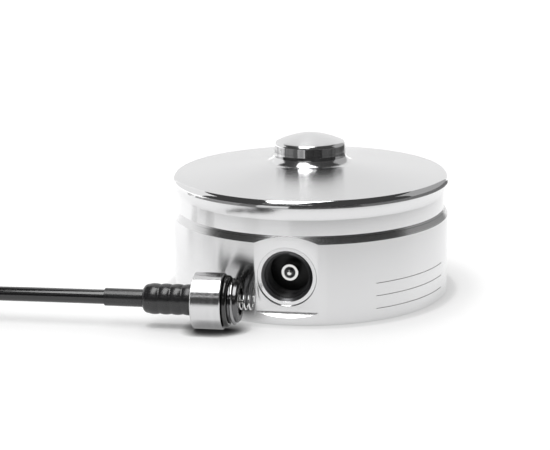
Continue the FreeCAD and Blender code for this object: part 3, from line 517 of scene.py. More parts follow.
def cut(piece, bm):
    """Cut a closed bmesh out of a piece."""
    cutter = linked("cutter", to_mesh(bm, "cutter"))
    modifier = piece.modifiers.new("cut", "BOOLEAN")
    modifier.object = cutter
    modifier.operation = "DIFFERENCE"
    modifier.solver = "EXACT"
    bpy.context.view_layer.update()
    graph = bpy.context.evaluated_depsgraph_get()
    result = bpy.data.meshes.new_from_object(piece.evaluated_get(graph))
    piece.modifiers.clear()
    piece.data = result
    bpy.data.objects.remove(cutter)


def dress(node, material):
    """Give a CAD node its finish."""
    mesh = NODES[node].data
    mesh.materials.clear()
    mesh.materials.append(material)


class Nodes:
    """Short way to add and join shader nodes in one tree."""

    def __init__(self, tree):
        self.tree = tree

    def put(self, node, name, value):
        """Join a socket to an input, or set the input to a value."""
        if isinstance(value, bpy.types.NodeSocket):
            self.tree.links.new(value, node.inputs[name])
        else:
            node.inputs[name].default_value = value

    def add(self, kind, inputs=None, **settings):
        node = self.tree.nodes.new(kind)
        for name, value in settings.items():
            setattr(node, name, value)
        for name, value in (inputs or {}).items():
            self.put(node, name, value)
        return node

    def group(self, tree, **inputs):
        return self.add("ShaderNodeGroup", inputs, node_tree=tree).outputs

    def noise(self, **inputs):
        kind = "1D" if "W" in inputs else "3D"
        return self.add("ShaderNodeTexNoise", inputs, noise_dimensions=kind).outputs["Fac"]

    def maths(self, operation, *values):
        return self.add("ShaderNodeMath", dict(enumerate(values)), operation=operation).outputs[0]

    def vector(self, operation, *values):
        return self.add("ShaderNodeVectorMath", dict(enumerate(values)), operation=operation).outputs

    def times(self, product, *others):
        for other in others:
            product = self.maths("MULTIPLY", product, other)
        return product

    def reach(self, a, b):
        """Distance from the middle of a plane with the coordinates a and b."""
        return self.maths("SQRT", self.maths("ADD", self.times(a, a), self.times(b, b)))

    def above(self, value, low):
        return self.maths("GREATER_THAN", value, low)

    def below(self, value, high):
        return self.maths("LESS_THAN", value, high)

    def within(self, value, low, high):
        """A mask that is 1 between two values."""
        return self.times(self.above(value, low), self.below(value, high))

    def ramp(self, value, start, stop, low=0.0, high=1.0, **settings):
        """A number that goes from low to high between two values."""
        inputs = {"Value": value, "From Min": start, "From Max": stop, "To Min": low, "To Max": high}
        return self.add("ShaderNodeMapRange", inputs, **settings).outputs["Result"]

    def spread(self, noise, low, high):
        """Bring a noise value, which stays near its middle, to a range."""
        return self.ramp(noise, *NOISE_RANGE, low, high)

    def mix(self, kind, mask, low, high):
        inputs = {"Factor": mask, "A": low, "B": high}
        return self.add("ShaderNodeMix", inputs, data_type=kind).outputs["Result"]

    def mixed(self, mask, low, high):
        """A number that goes from low to high with a mask."""
        return self.mix("FLOAT", mask, low, high)

    def painted(self, mask, base, rgb):
        """A colour where the mask is 1, over another one."""
        return self.mix("RGBA", mask, base, (*rgb, 1))

    def tone(self, value, rgb, depth):
        """A colour that gets darker by a share of itself where the value is low."""
        return self.painted(value, (*[part * (1 - depth) for part in rgb], 1), rgb)

    def bump(self, shader, height, distance):
        node = self.add("ShaderNodeBump", {"Height": height, "Distance": distance, "Strength": 1.0})
        self.put(shader, "Normal", node.outputs["Normal"])


def new_group(name, inputs, outputs):
    """An empty shader node group with named sockets."""
    tree = bpy.data.node_groups.new(name, "ShaderNodeTree")
    for label, kind in inputs:
        tree.interface.new_socket(label, in_out="INPUT", socket_type=kind)
    for label in outputs:
        tree.interface.new_socket(label, in_out="OUTPUT", socket_type="NodeSocketFloat")
    n = Nodes(tree)
    return tree, n, n.add("NodeGroupInput").outputs, n.add("NodeGroupOutput")


def turned_lines_group():
    """Fine lines that a lathe tool leaves, and broad tones along them."""
    name = "turned_lines"
    if name in bpy.data.node_groups:
        return bpy.data.node_groups[name]
    inputs = [("Along", "NodeSocketFloat"), ("Lines", "NodeSocketFloat")]
    tree, n, inside, outside = new_group(name, inputs, ["Height", "Tone"])
    place = n.times(inside["Along"], inside["Lines"])
    n.put(outside, "Height", n.noise(W=place, Scale=1.0, Detail=3.0))
    n.put(outside, "Tone", n.noise(W=n.times(place, BROAD_LINES), Scale=1.0, Detail=2.0))
    return tree


def handling_group():
    """Faint clouds of wear and touch, and a fine grain."""
    name = "handling"
    if name in bpy.data.node_groups:
        return bpy.data.node_groups[name]
    inputs = [("Vector", "NodeSocketVector"), ("Scale", "NodeSocketFloat")]
    tree, n, inside, outside = new_group(name, inputs, ["Cloud", "Grain"])
    place, scale = inside["Vector"], inside["Scale"]
    n.put(outside, "Cloud", n.noise(Vector=place, Scale=scale, Detail=4.0, Roughness=0.55))
    n.put(outside, "Grain", n.noise(Vector=place, Scale=n.times(scale, FINE_GRAIN), Detail=2.0))
    return tree


def principled(material):
    return next(node for node in material.node_tree.nodes if node.type == "BSDF_PRINCIPLED")


def new_material(name):
    """A material with its node helper, its shader and the object's own coordinates."""
    material = bpy.data.materials.new(name)
    material.use_nodes = True
    n = Nodes(material.node_tree)
    return material, n, principled(material), n.add("ShaderNodeTexCoord").outputs["Object"]


def lathe_marks(n, place, height, radius):
    """Relief of the fine turned lines, and a mottling of broad lines and wear."""
    track = n.maths("ADD", height, n.times(radius, TRACK_LEAN))
    marks = n.group(turned_lines_group(), Along=track, Lines=TOOL_LINES)
    touch = n.group(handling_group(), Vector=place, Scale=WEAR_SCALE)
    mottled = n.maths("ADD", n.times(marks["Tone"], LINE_SHARE), n.times(touch["Cloud"], 1 - LINE_SHARE))
    return marks["Height"], mottled


def body_steel(b, s):
    """Turned stainless steel: satin plate, wall and band, brighter edges and a matt panel, with painted shade
    that makes the socket black and painted reflection in dark streaks on the shoulder and the button.
    """
    material, n, shader, place = new_material("turned_steel")
    split = n.add("ShaderNodeSeparateXYZ", {"Vector": place}).outputs
    x, y, z = split["X"], split["Y"], split["Z"]
    radius = n.reach(x, y)
    angle = n.maths("ARCTAN2", x, n.times(y, -1.0))
    from_bore = n.reach(x, n.maths("SUBTRACT", z, s.height))

    foot = b.plate_top + b.plate_rise
    plate_low = b.plate_top - HAIR
    dome_low = b.button_top - DOME_DEPTH
    spot = s.spot_depth - s.flat_distance
    behind_flat = n.above(y, SLIGHT - s.flat_distance)
    shoulder = n.times(n.within(z, b.shoulder_low, b.shoulder_high), behind_flat)
    band = n.within(z, b.shoulder_high, b.band_top)
    lip = n.times(n.within(z, b.lip_under - SLIGHT, plate_low), n.above(radius, b.lip_radius - b.lip_round))
    button = n.times(n.below(radius, b.button_radius + MARGIN),
                     n.within(z, foot + b.foot_radius * FOOT_SHARE, dome_low))
    flare = n.times(n.below(radius, b.button_radius + b.foot_radius), n.within(z, foot, foot + b.foot_radius))
    plate = n.above(z, plate_low)
    dome = n.above(z, dome_low)
    panel = n.times(n.within(angle, b.panel_start, b.panel_stop),
                    n.within(z, PANEL_FOOT, b.shoulder_low - PANEL_GAP))
    # Painted shade: the bore is painted black and the lead-in darker, for the shade inside the socket.
    bore = n.times(n.below(from_bore, s.mouth_radius - MARGIN),
                   n.within(y, spot + LEAD_IN_DEPTH, -s.eyelet_end))
    lead_in = n.times(n.below(from_bore, s.mouth_radius), n.within(y, spot + HAIR, spot + LEAD_IN_DEPTH))

    relief, mottled = lathe_marks(n, place, z, radius)
    streaks = n.group(turned_lines_group(), Along=angle, Lines=BUTTON_REFLECTION_STREAKS)["Tone"]
    ridges = n.group(turned_lines_group(), Along=z, Lines=SHOULDER_LINES)["Height"]
    # Painted reflection: dark streaks on the button's wall stand for streaks in its mirror image.
    reflection_streaks = n.times(button, n.spread(streaks, 1.0, 0.35))
    # Painted reflection: the shoulder's turned grooves are painted as dark lines for the streaks in its
    # mirror image, faded out where it mirrors light.
    grooves_and_dark_reflection = n.times(shoulder, n.ramp(angle, *GROOVE_REFLECTION_FADE), n.spread(ridges, 0.85, 0.0))
    rgb = n.tone(n.spread(mottled, 0.0, 1.0), b.steel, depth=0.035)
    tints = ((grooves_and_dark_reflection, GROOVE_REFLECTION_GREY), (reflection_streaks, REFLECTION_STREAK_GREY), (lead_in, LEAD_IN_SHADE_GREY), (bore, BORE_SHADE_BLACK))
    for mask, tint in tints:
        rgb = n.painted(mask, rgb, tint)
    n.put(shader, "Base Color", rgb)

    rough = 0.2
    fine = n.maths("MAXIMUM", flare, dome)
    polished = n.maths("MAXIMUM", lip, button)
    masks = ((panel, 0.215), (band, 0.13), (plate, 0.21), (shoulder, 0.27), (fine, 0.17), (polished, 0.08))
    for mask, value in masks:
        rough = n.mixed(mask, rough, value)
    uneven = n.times(rough, n.spread(mottled, 0.93, 1.07))
    n.put(shader, "Roughness", n.mixed(n.maths("MAXIMUM", bore, lead_in), uneven, 0.45))
    n.put(shader, "Metallic", n.maths("SUBTRACT", 1.0, bore))
    n.put(shader, "Anisotropic", 0.85)
    n.put(shader, "Anisotropic Rotation", 0.25)
    n.bump(shader, relief, 0.5e-6)
    return material


def plug_steel(name, rgb, rough, line_depth, shade_from=1.0):
    """Steel with fine lines round the plug's axis, painted darker as painted shade from a place along it on.
    """
    material, n, shader, place = new_material(name)
    arm = n.vector("SUBTRACT", place, tuple(PLUG_REAR))["Vector"]
    height = n.vector("DOT_PRODUCT", arm, tuple(plug_way()))["Value"]
    reach = n.vector("LENGTH", arm)["Value"]
    flat = n.maths("SUBTRACT", n.times(reach, reach), n.times(height, height))
    radius = n.maths("SQRT", n.maths("MAXIMUM", flat, 0.0))
    relief, mottled = lathe_marks(n, place, height, radius)
    steel = n.tone(n.spread(mottled, 0.0, 1.0), rgb, depth=0.06)
    n.put(shader, "Base Color", n.painted(n.above(height, shade_from), steel, PLUG_SHADE_GREY))
    n.put(shader, "Roughness", n.spread(mottled, rough * 0.8, rough * 1.25))
    n.put(shader, "Metallic", 1.0)
    n.bump(shader, relief, line_depth)
    return material


def plain_finish(name, look):
    """A finish with clouds in its colour and gloss and a fine grain."""
    material, n, shader, place = new_material(name)
    touch = n.group(handling_group(), Vector=place, Scale=look.grain)
    n.put(shader, "Metallic", look.metallic)
    n.put(shader, "Specular IOR Level", look.specular)
    n.put(shader, "Base Color", n.tone(n.spread(touch["Cloud"], 0.0, 1.0), look.rgb, look.depth))
    n.put(shader, "Roughness", n.spread(touch["Cloud"], look.rough * 0.85, look.rough * 1.2))
    n.bump(shader, touch["Grain"], look.bump)
    return material


def finish(name, **changes):
    return plain_finish(name, FINISHES[name]._replace(**changes))


def body_outline(b, c):
    """Half section of the turned body. Points beside a round stretch keep the flat ones flat."""
    hold = 0.25 * MM
    rim_radius = b.button_radius - b.button_edge
    rim_reach = b.crown_radius - b.button_edge
    rim_lift = math.sqrt(rim_reach ** 2 - rim_radius ** 2)
    outward = b.crown_radius / rim_reach
    crown_centre = b.button_top - b.crown_radius
    lip_end = b.lip_radius - b.lip_round
    foot_end = b.button_radius + b.foot_radius
    plate_high = b.plate_top + b.plate_rise
    hold_rise = hold * b.plate_rise / (lip_end - foot_end)
    return outline([
        (c.cover_radius, 0.0),
        (b.wall_radius - b.base_chamfer, 0.0),
        (b.wall_radius, b.base_chamfer),
        (b.wall_radius, b.shoulder_low),
        (b.band_radius, b.shoulder_high),
        (b.band_radius, b.band_top - hold),
        (b.band_radius, b.band_top, b.cove_radius, RIGHT),
        (b.lip_radius, b.lip_under),
        (b.lip_radius, b.plate_top - b.lip_round, b.lip_round, LEFT),
        (lip_end, b.plate_top),
        (lip_end - hold, b.plate_top + hold_rise),
        (foot_end + hold, plate_high - hold_rise),
        (foot_end, plate_high, b.foot_radius, RIGHT),
        (b.button_radius, plate_high + b.foot_radius),
        (b.button_radius, plate_high + b.foot_radius + hold),
        (b.button_radius, crown_centre + rim_lift - hold),
        (b.button_radius, crown_centre + rim_lift, b.button_edge, LEFT),
        (rim_radius * outward, crown_centre + rim_lift * outward, b.crown_radius, LEFT),
        (0.0, b.button_top),
        (0.0, c.boss_low),
        (c.boss_radius, c.boss_low),
        (c.boss_radius, c.roof),
        (c.chamber_radius, c.roof),
        (c.chamber_radius, c.ledge),
        (c.radius, c.ledge),
        (c.radius, c.cover_top),
        (c.cover_radius, c.cover_top),
    ], steps=14)


def flat_cutter(b, s):
    """Block that mills the flat and the ramp below it, with a small hollow round between them."""
    reach = 2 * b.wall_radius - s.flat_distance
    top = (b.shoulder_high + b.band_top) / 2
    corners = [
        (-s.flat_distance, s.flat_foot),
        (-s.flat_distance, top),
        (-reach, top),
        (-reach, 2 * s.ramp_foot - s.flat_foot),
    ]
    bm = bmesh.new()
    face = bm.faces.new([bm.verts.new((-b.wall_radius / 2, y, z)) for y, z in corners])
    pushed(bm, bmesh.ops.extrude_face_region(bm, geom=[face]), (b.wall_radius, 0, 0))
    foot = [e for e in bm.edges if all(abs(v.co.z - s.flat_foot) < SAME_HEIGHT for v in e.verts)]
    rounded(bm, foot, s.foot_hollow, "EDGES")
    return bm


def socket_cutter(b, s):
    """Spot face, lead-in, bore and the hole for the feedthrough, drawn outwards from the flat."""
    outside = 2 * (b.wall_radius - s.flat_distance)
    chamfer = s.mouth_radius - s.bore_radius
    rim = s.spot_rim
    bm = turned(outline([
        (0.0, s.eyelet_end - s.flat_distance),
        (s.eyelet_radius, s.eyelet_end - s.flat_distance),
        (s.eyelet_radius, -s.depth),
        (s.bore_radius, -s.depth),
        (s.bore_radius, -s.spot_depth - chamfer),
        (s.mouth_radius, -s.spot_depth),
        (s.spot_radius, -s.spot_depth),
        (s.spot_radius, -rim, rim, RIGHT),
        (s.spot_radius + rim, 0.0),
        (s.spot_radius + rim, outside),
        (0.0, outside),
    ], steps=5), steps=128)
    bm.transform(socket_place(s))
    return bm


def screw_hole_cutter(c):
    """Blind holes in the ledge."""
    bm = bmesh.new()
    for k in range(c.screw_count):
        turn = Matrix.Rotation(FULL_TURN * k / c.screw_count, 4, "Z")
        middle = Matrix.Translation((c.screw_circle, 0, c.ledge + c.screw_depth / 2))
        bmesh.ops.create_cone(
            bm, cap_ends=True, segments=24, radius1=c.screw_hole, radius2=c.screw_hole,
            depth=c.screw_depth * HOLE_STRETCH, matrix=turn @ middle)
    return bm


class LOADCELL_OT_body(Operator):
    """Turned body with its flat and socket, and the cover welded in below"""
    bl_idname = "loadcell.body"
    bl_label = "Body"

    def execute(self, context):
        scene = context.scene
        b, c, s = scene.loadcell_body, scene.loadcell_cavity, scene.loadcell_socket
        steel = body_steel(b, s)
        bm = turned(body_outline(b, c), steps=192)
        body = add_piece(bm, "load_body_turned", steel, "turned_steel", ["load_body"])
        cut(body, flat_cutter(b, s))
        cut(body, socket_cutter(b, s))
        cut(body, screw_hole_cutter(c))
        smooth(body.data, crease=20)
        dress("base_cover", steel)
        weld = turned(round_wire(c.cover_radius, c.weld_radius, c.weld_height), steps=160)
        add_piece(weld, "cover_weld", finish("carrier_steel"), "turned_steel", crease=60)
        return {"FINISHED"}


class LOADCELL_OT_rules(Operator):
    """Thin plain rule lines on the wall beside the flat"""
    bl_idname = "loadcell.rules"
    bl_label = "Rule lines"

    def execute(self, context):
        b = context.scene.loadcell_body
        sunk, proud = b.wall_radius - RULE_SUNK, b.wall_radius + RULE_PROUD
        lines = bmesh.new()
        for k in range(1, b.rule_count + 1):
            low = k * b.rule_pitch - b.rule_width / 2
            high = low + b.rule_width
            section = [(sunk, low), (proud, low), (proud, high), (sunk, high)]
            strip = wound(section, pitch=0.0, turns=b.rule_sweep / FULL_TURN, steps=360)
            strip.transform(Matrix.Rotation(b.rule_start - math.pi / 2, 4, "Z"))
            gather(lines, strip)
        add_piece(lines, "rule_lines", finish("line_ink"), "turned_steel", crease=40)
        return {"FINISHED"}


class LOADCELL_OT_socket(Operator):
    """Thread in the socket and the glass-sealed contact in its middle"""
    bl_idname = "loadcell.socket"
    bl_label = "Socket"

    def execute(self, context):
        s = context.scene.loadcell_socket
        metal = finish("bright_metal")
        put = partial(add_piece, place=socket_place(s))

        pitch = s.thread_pitch
        ridge = thread_ridge(s.bore_radius, s.bore_radius - s.thread_height, pitch - s.depth, pitch)
        turns = (s.depth - s.spot_depth) / pitch - THREAD_RUNOUT
        steel = bpy.data.objects["load_body_turned"].data.materials[0]
        put(wound(ridge, pitch, turns, steps=64), "socket_thread", steel, "turned_steel", crease=30)

        face = -s.eyelet_depth
        rear = s.eyelet_end - s.flat_distance
        put(turned(outline([
            (s.glass_radius, rear),
            (s.eyelet_radius, rear),
            (s.eyelet_radius, face - s.eyelet_edge, s.eyelet_edge, LEFT),
            (s.eyelet_radius - s.eyelet_edge, face),
            (s.glass_radius + s.eyelet_edge, face, s.eyelet_edge, LEFT),
            (s.glass_radius, face - s.eyelet_edge),
        ], steps=5)), "eyelet_ring", metal, "bright_metal", ["feedthrough_eyelet"])

        level = face - s.glass_sink
        put(turned(outline([
            (s.pin_radius, rear),
            (s.glass_radius, rear),
            (s.glass_radius, level, s.glass_radius, RIGHT),
            (s.pin_radius, level),
        ], steps=6)), "glass_seal", finish("seal_glass"), "seal_glass", ["feedthrough_glass"])

        tip = face + s.pin_proud
        nose = s.pin_radius * PIN_ROUND
        inner = s.pin_end - s.flat_distance
        put(turned(outline([
            (0.0, inner),
            (s.pin_radius, inner),
            (s.pin_radius, tip - nose, nose, LEFT),
            (s.pin_radius - nose, tip),
            (0.0, tip),
        ], steps=8), steps=48), "contact_pin", metal, "bright_metal", ["feedthrough_pin"])
        return {"FINISHED"}


def plug_outline(p, cable_radius):
    """Half section of the plug: ringed stem, collar, seal groove and bored nose."""
    tip = p.collar_length + p.nose_length
    groove_end = p.collar_length + p.seal_section
    corners = [(cable_radius, p.stem_floor), (cable_radius, -p.rib_pitch * p.rib_count)]
    for ring in range(p.rib_count, 0, -1):
        rear = -p.rib_pitch * ring
        groove = rear + p.rib_pitch - p.stem_groove
        corners += [(p.stem_radius, rear), (p.stem_radius, groove), (p.stem_root, groove),
                    (p.stem_root, rear + p.rib_pitch)]
    return corners + [
        (p.collar_radius - p.collar_chamfer, 0.0),
        (p.collar_radius, p.collar_chamfer),
        (p.collar_radius, p.collar_length - p.collar_chamfer),
        (p.collar_radius - p.collar_chamfer, p.collar_length),
        (p.seal_radius, p.collar_length),
        (p.seal_radius, groove_end),
        (p.nose_root, groove_end),
        (p.nose_root, tip - p.nose_chamfer),
        (p.nose_root - p.nose_chamfer, tip),
        (p.nose_bore, tip),
        (p.nose_bore, tip - p.nose_bore_depth),
        (0.0, tip - p.nose_bore_depth),
        (0.0, p.stem_floor),
    ]


class LOADCELL_OT_plug(Operator):
    """Steel plug with its thread, seal, insulator, contact and spring"""
    bl_idname = "loadcell.plug"
    bl_label = "Plug"

    def execute(self, context):
        scene = context.scene
        p, cable, socket = scene.loadcell_plug, scene.loadcell_cable, scene.loadcell_socket
        put = partial(add_piece, place=plug_place())
        # Painted shade: from the collar's front face on, the plug's steel is painted darker, for the shade
        # round its nose.
        steel = plug_steel(
            "plug_steel", p.steel, rough=0.2, line_depth=1.2e-6, shade_from=p.collar_length - HAIR)
        tip = p.collar_length + p.nose_length

        whole = turned(plug_outline(p, cable.radius), steps=128)
        put(whole, "plug_turned", steel, "plug_steel", ["plug_body"])

        pitch = socket.thread_pitch
        half = pitch * RIDGE_SHARE
        start = p.collar_length + p.seal_section + half
        ridge = thread_ridge(p.nose_root, p.nose_root + socket.thread_height, start, pitch)
        turns = (tip - p.nose_chamfer - start - half) / pitch
        # Painted shade: the thread's steel is a darker copy of the plug's, for the shade on and under its
        # ridges.
        bright = plug_steel("thread_steel", p.thread, rough=0.12, line_depth=0.8e-6)
        thread = put(wound(ridge, pitch, turns, steps=64), "nose_thread", bright, "plug_steel", crease=30)
        thread.visible_glossy = False

        seal_half = p.seal_section / 2
        middle = p.collar_length + seal_half
        seal = turned(round_wire(p.seal_radius + seal_half, seal_half, middle, corners=24), steps=96)
        put(seal, "sealing_ring", finish("seal_rubber"), "seal_rubber", ["plug_o_ring"], crease=60)

        face = tip - p.insulator_sink
        floor = tip - p.nose_bore_depth
        pocket = face - p.pocket_depth
        put(turned([
            (p.contact_radius, floor),
            (p.nose_bore, floor),
            (p.nose_bore, face),
            (p.pocket_radius, face),
            (p.pocket_radius, pocket),
            (p.contact_radius, pocket),
        ]), "nose_insulator", finish("white_insulator"), "white_insulator", ["plug_insulator"])

        end = tip + p.contact_tip
        put(turned([
            (0.0, floor),
            (p.contact_radius, floor),
            (p.contact_radius, end - p.contact_radius / 2),
            (p.contact_radius / 2, end),
            (0.0, end),
        ], steps=32), "middle_contact", finish("bright_metal"), "bright_metal", ["centre_contact"])

        foot = pocket + p.spring_wire
        turns = (tip + p.spring_proud - p.spring_wire - foot) / p.spring_pitch
        wire = wound(round_wire(p.spring_radius, p.spring_wire, foot), p.spring_pitch, turns, steps=36)
        put(wire, "spring_wire", finish("spring_steel"), "spring_steel", ["contact_spring"], crease=60)
        return {"FINISHED"}


class LOADCELL_OT_sleeve(Operator):
    """Black shrink tube over the plug's stem and the start of the cable"""
    bl_idname = "loadcell.sleeve"
    bl_label = "Sleeve"

    def execute(self, context):
        p, cable = context.scene.loadcell_plug, context.scene.loadcell_cable
        valley = p.stem_radius + p.sleeve_wall
        half = p.rib_pitch / 2
        swell = (half * half + p.rib_swell ** 2) / (2 * p.rib_swell)
        stem_end = -p.rib_pitch * p.rib_count
        shoulder = valley - p.sleeve_neck
        neck = stem_end - shoulder
        corners = [
            (cable.radius, neck - p.sleeve_neck_length),
            (p.sleeve_neck, neck - p.sleeve_neck_length),
            (p.sleeve_neck, neck, shoulder, LEFT),
        ]
        corners += [(valley, -p.rib_pitch * ring, swell, LEFT) for ring in range(p.rib_count, 0, -1)]
        corners += [(valley, 0.0), (p.stem_radius, 0.0), (p.stem_radius, stem_end), (cable.radius, stem_end)]
        bm = turned(outline(corners, steps=12), steps=72)
        plastic = finish("sleeve_plastic", rgb=cable.sleeve)
        add_piece(
            bm, "shrink_tube", plastic, "sleeve_plastic", ["shrink_sleeve"], crease=40, place=plug_place())
        return {"FINISHED"}


def coil_points(c):
    """Clockwise turns of the tied coil, layer by layer, from its second layer up and then down its inside."""
    inner = c.outer_turn - 2.5 * c.lane
    inmost = inner - c.lane
    first, second, third, fourth = (c.lowest_turn + c.lane * layer for layer in range(4))
    # Turns, then the radius and the height at both ends. The way down takes 20 degrees more than a turn, so
    # that the coil ends where the tail begins.
    stages = [
        (2.5, c.outer_turn, inner, second, second),
        (0.25, inner, inner, second, third),
        (2.5, inner, c.outer_turn, third, third),
        (0.25, c.outer_turn, c.outer_turn, third, fourth),
        (2.5, c.outer_turn, inner, fourth, fourth),
        (0.5, inner, inmost, fourth, fourth),
        (1.0556, inmost, inmost, fourth, first),
        (3.5, inmost, c.outer_turn, first, first),
    ]
    outward = 1 / math.cos(math.pi / c.points_per_turn)
    angle = math.radians(270)
    points = []
    for turns, r_start, r_stop, z_start, z_stop in stages:
        count = round(turns * c.points_per_turn)
        for k in range(1, count + 1):
            share = k / count
            phi = angle - FULL_TURN * turns * share
            radius = (r_start + (r_stop - r_start) * share) * outward
            height = z_start + (z_stop - z_start) * share
            points.append(COIL_CENTRE + Vector((radius * math.cos(phi), radius * math.sin(phi), height)))
        angle -= FULL_TURN * turns
    return points


class LOADCELL_OT_cable(Operator):
    """Coaxial cable from the plug through its coil to the far plug"""
    bl_idname = "loadcell.cable"
    bl_label = "Cable"

    def execute(self, context):
        c, p = context.scene.loadcell_cable, context.scene.loadcell_plug
        start = PLUG_REAR + plug_way() * p.stem_floor
        route = [start, LEAD_BEND, LEAD_END] + coil_points(c)[:-1] + TAIL_ROUTE
        curve = bpy.data.curves.new("coaxial_cable", "CURVE")
        curve.dimensions = "3D"
        curve.bevel_depth = c.radius
        curve.bevel_resolution = 5
        curve.resolution_u = 6
        curve.use_fill_caps = True
        spline = curve.splines.new("NURBS")
        spline.points.add(len(route) - 1)
        for point, place in zip(spline.points, route):
            point.co = (*place, 1.0)
        spline.order_u = 3
        spline.use_endpoint_u = True
        curve.materials.append(finish("cable_jacket", rgb=c.jacket))
        cable = linked("coaxial_cable", curve)
        cable.visible_glossy = False
        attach(cable, BODY)
        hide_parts("cable", "cable_coil", "cable_tail")
        on_cable = [
            "plug_turned", "nose_thread", "sealing_ring", "nose_insulator", "middle_contact", "spring_wire",
            "shrink_tube", "coil_bands"]
        pieces = [bpy.data.objects[name] for name in on_cable]
        pieces += [NODES[name] for name in NODES if name.startswith("far_plug")]
        return {"FINISHED"}


class LOADCELL_OT_ties(Operator):
    """Bands round the coil"""
    bl_idname = "loadcell.ties"
    bl_label = "Ties"

    def execute(self, context):
        c = context.scene.loadcell_cable
        half = c.tie_thickness / 2
        bands = bmesh.new()
        for k in range(c.tie_count):
            bm = bmesh.new()
            near, far, top = c.tie_near + half, c.tie_far - half, c.tie_top - half
            corners = [(near, half), (far, half), (far, top), (near, top)]
            loop = [bm.verts.new((x, -c.tie_width / 2, z)) for x, z in corners]
            for a, b in zip(loop, loop[1:] + loop[:1]):
                bm.edges.new((a, b))
            rounded(bm, loop, c.tie_corner, "VERTICES")
            pushed(bm, bmesh.ops.extrude_edge_only(bm, edges=bm.edges[:]), (0, c.tie_width, 0))
            bmesh.ops.solidify(bm, geom=bm.faces[:], thickness=half)
            turn = Matrix.Rotation(c.first_tie + FULL_TURN * k / c.tie_count, 4, "Z")
            bm.transform(Matrix.Translation(COIL_CENTRE) @ turn)
            gather(bands, bm)
        plastic = finish("tie_plastic")
        piece = add_piece(bands, "coil_bands", plastic, "tie_plastic", ["coil_ties"], crease=40)
        piece.visible_glossy = False
        return {"FINISHED"}


class LOADCELL_OT_inside(Operator):
    """Finishes of the sealed pieces and of the far plug"""
    bl_idname = "loadcell.inside"
    bl_label = "Inside and far plug"

    def execute(self, context):
        for name, nodes in INSIDE.items():
            material = finish(name)
            for node in nodes:
                dress(node, material)
        return {"FINISHED"}


def area_light(name, lamp, power, azimuth):
    """A rectangular light, placed in the camera's own azimuth."""
    light = bpy.data.lights.new(name, "AREA")
    light.shape = "RECTANGLE"
    light.size = lamp.width
    light.size_y = lamp.height
    light.energy = power
    way = Vector(lamp.target) - Vector(lamp.place)
    spin = Matrix.Rotation(math.radians(lamp.spin), 4, "Z")
    aim = way.to_track_quat("-Z", "Y").to_matrix().to_4x4() @ spin
    turn = Matrix.Rotation(azimuth, 4, "Z")
    linked(name, light).matrix_world = turn @ Matrix.Translation(lamp.place) @ aim


def floor_material(s):
    """White sweep that gives some light by itself, more further out. Painted shade darkens its colour and
    light where something stands, and painted light covers the coil's shadow along its near edge and, in
    mirror images, under it.
    """
    material, n, shader, place = new_material("pale_floor")
    touch = n.group(handling_group(), Vector=place, Scale=FLOOR_CLOUDS)
    white = n.tone(n.spread(touch["Cloud"], 0.0, 1.0), FLOOR_WHITE, depth=0.01)
    out = n.vector("LENGTH", place)["Value"]
    across = n.add("ShaderNodeSeparateXYZ", {"Vector": place}).outputs["X"]
    glow = n.ramp(out, *GLOW_REACH, s.floor_glow, 1.0, interpolation_type="SMOOTHSTEP")

    open_sky = n.add("ShaderNodeAmbientOcclusion", {"Distance": SKY_REACH}, samples=8).outputs["AO"]
    contact = n.add("ShaderNodeAmbientOcclusion", {"Distance": CONTACT_REACH}, samples=8).outputs["AO"]
    free = n.maths("POWER", contact, CONTACT_DEPTH)
    shade = n.times(n.mixed(open_sky, DEEP_SHADE, 1.0), free)
    beside = n.maths("ABSOLUTE", n.maths("SUBTRACT", across, STRIP_PLACE))
    strip = n.ramp(beside, *STRIP_EDGE)
    near = n.times(strip, n.mixed(n.ramp(out, *CELL_EDGE), DEEP_SHADE, 1.0))
    painted_contact_shadow = n.times(near, n.maths("SUBTRACT", 1.0, free))
    seen = n.mixed(near, 1.0, shade)
    # Painted light: in mirror images the floor under the coil glows brighter over its shadow; elsewhere half
    # of the painted shade shows.
    mirrored = n.mixed(n.ramp(across, *COIL_EDGE), COIL_MIRRORED, n.mixed(MIRROR_SHADE, 1.0, seen))
    # Painted light: along the coil's near edge the camera sees the floor brighter, over the coil's shadow.
    sight = n.times(n.mixed(strip, STRIP_LIGHT, 1.0), seen)
    direct = n.add("ShaderNodeLightPath").outputs["Is Camera Ray"]

    # Painted shadow: the floor's colour is darker where things touch it.
    n.put(shader, "Base Color", n.painted(painted_contact_shadow, white, FLOOR_SHADOW_GREY))
    n.put(shader, "Roughness", 0.6)
    n.put(shader, "Specular IOR Level", 0.2)
    # Painted shade and painted light in the floor's own glow.
    n.put(shader, "Emission Color", n.times(glow, n.mixed(direct, mirrored, sight)))
    n.put(shader, "Emission Strength", 1.0)
    return material


def card(name, sectors, material):
    """Card on the floor made of ring sectors, each with its angles from the camera and its radii. Only
    reflections show it."""
    azimuth = bpy.context.scene.loadcell_stage.azimuth
    bm = bmesh.new()
    for begin, end, inner, outer in sectors:
        ends = [bm.verts.new((0, -radius, MM)) for radius in (inner, outer)]
        edge = bm.edges.new(ends)
        bmesh.ops.rotate(bm, verts=ends, cent=(0, 0, 0), matrix=Matrix.Rotation(azimuth + begin, 3, "Z"))
        bmesh.ops.spin(bm, geom=ends + [edge], **ABOUT_Z, angle=end - begin, steps=32)
    bmesh.ops.recalc_face_normals(bm, faces=bm.faces)
    sheet = stage_sheet(bm, name, material)
    sheet.visible_camera = False
    sheet.visible_diffuse = False
    sheet.visible_shadow = False


def glowing(name, strength):
    """A grey finish that gives some light by itself."""
    material = plain_finish(name, CARD_GREY)
    shader = principled(material)
    shader.inputs["Emission Color"].default_value = (1, 1, 1, 1)
    shader.inputs["Emission Strength"].default_value = strength
    return material


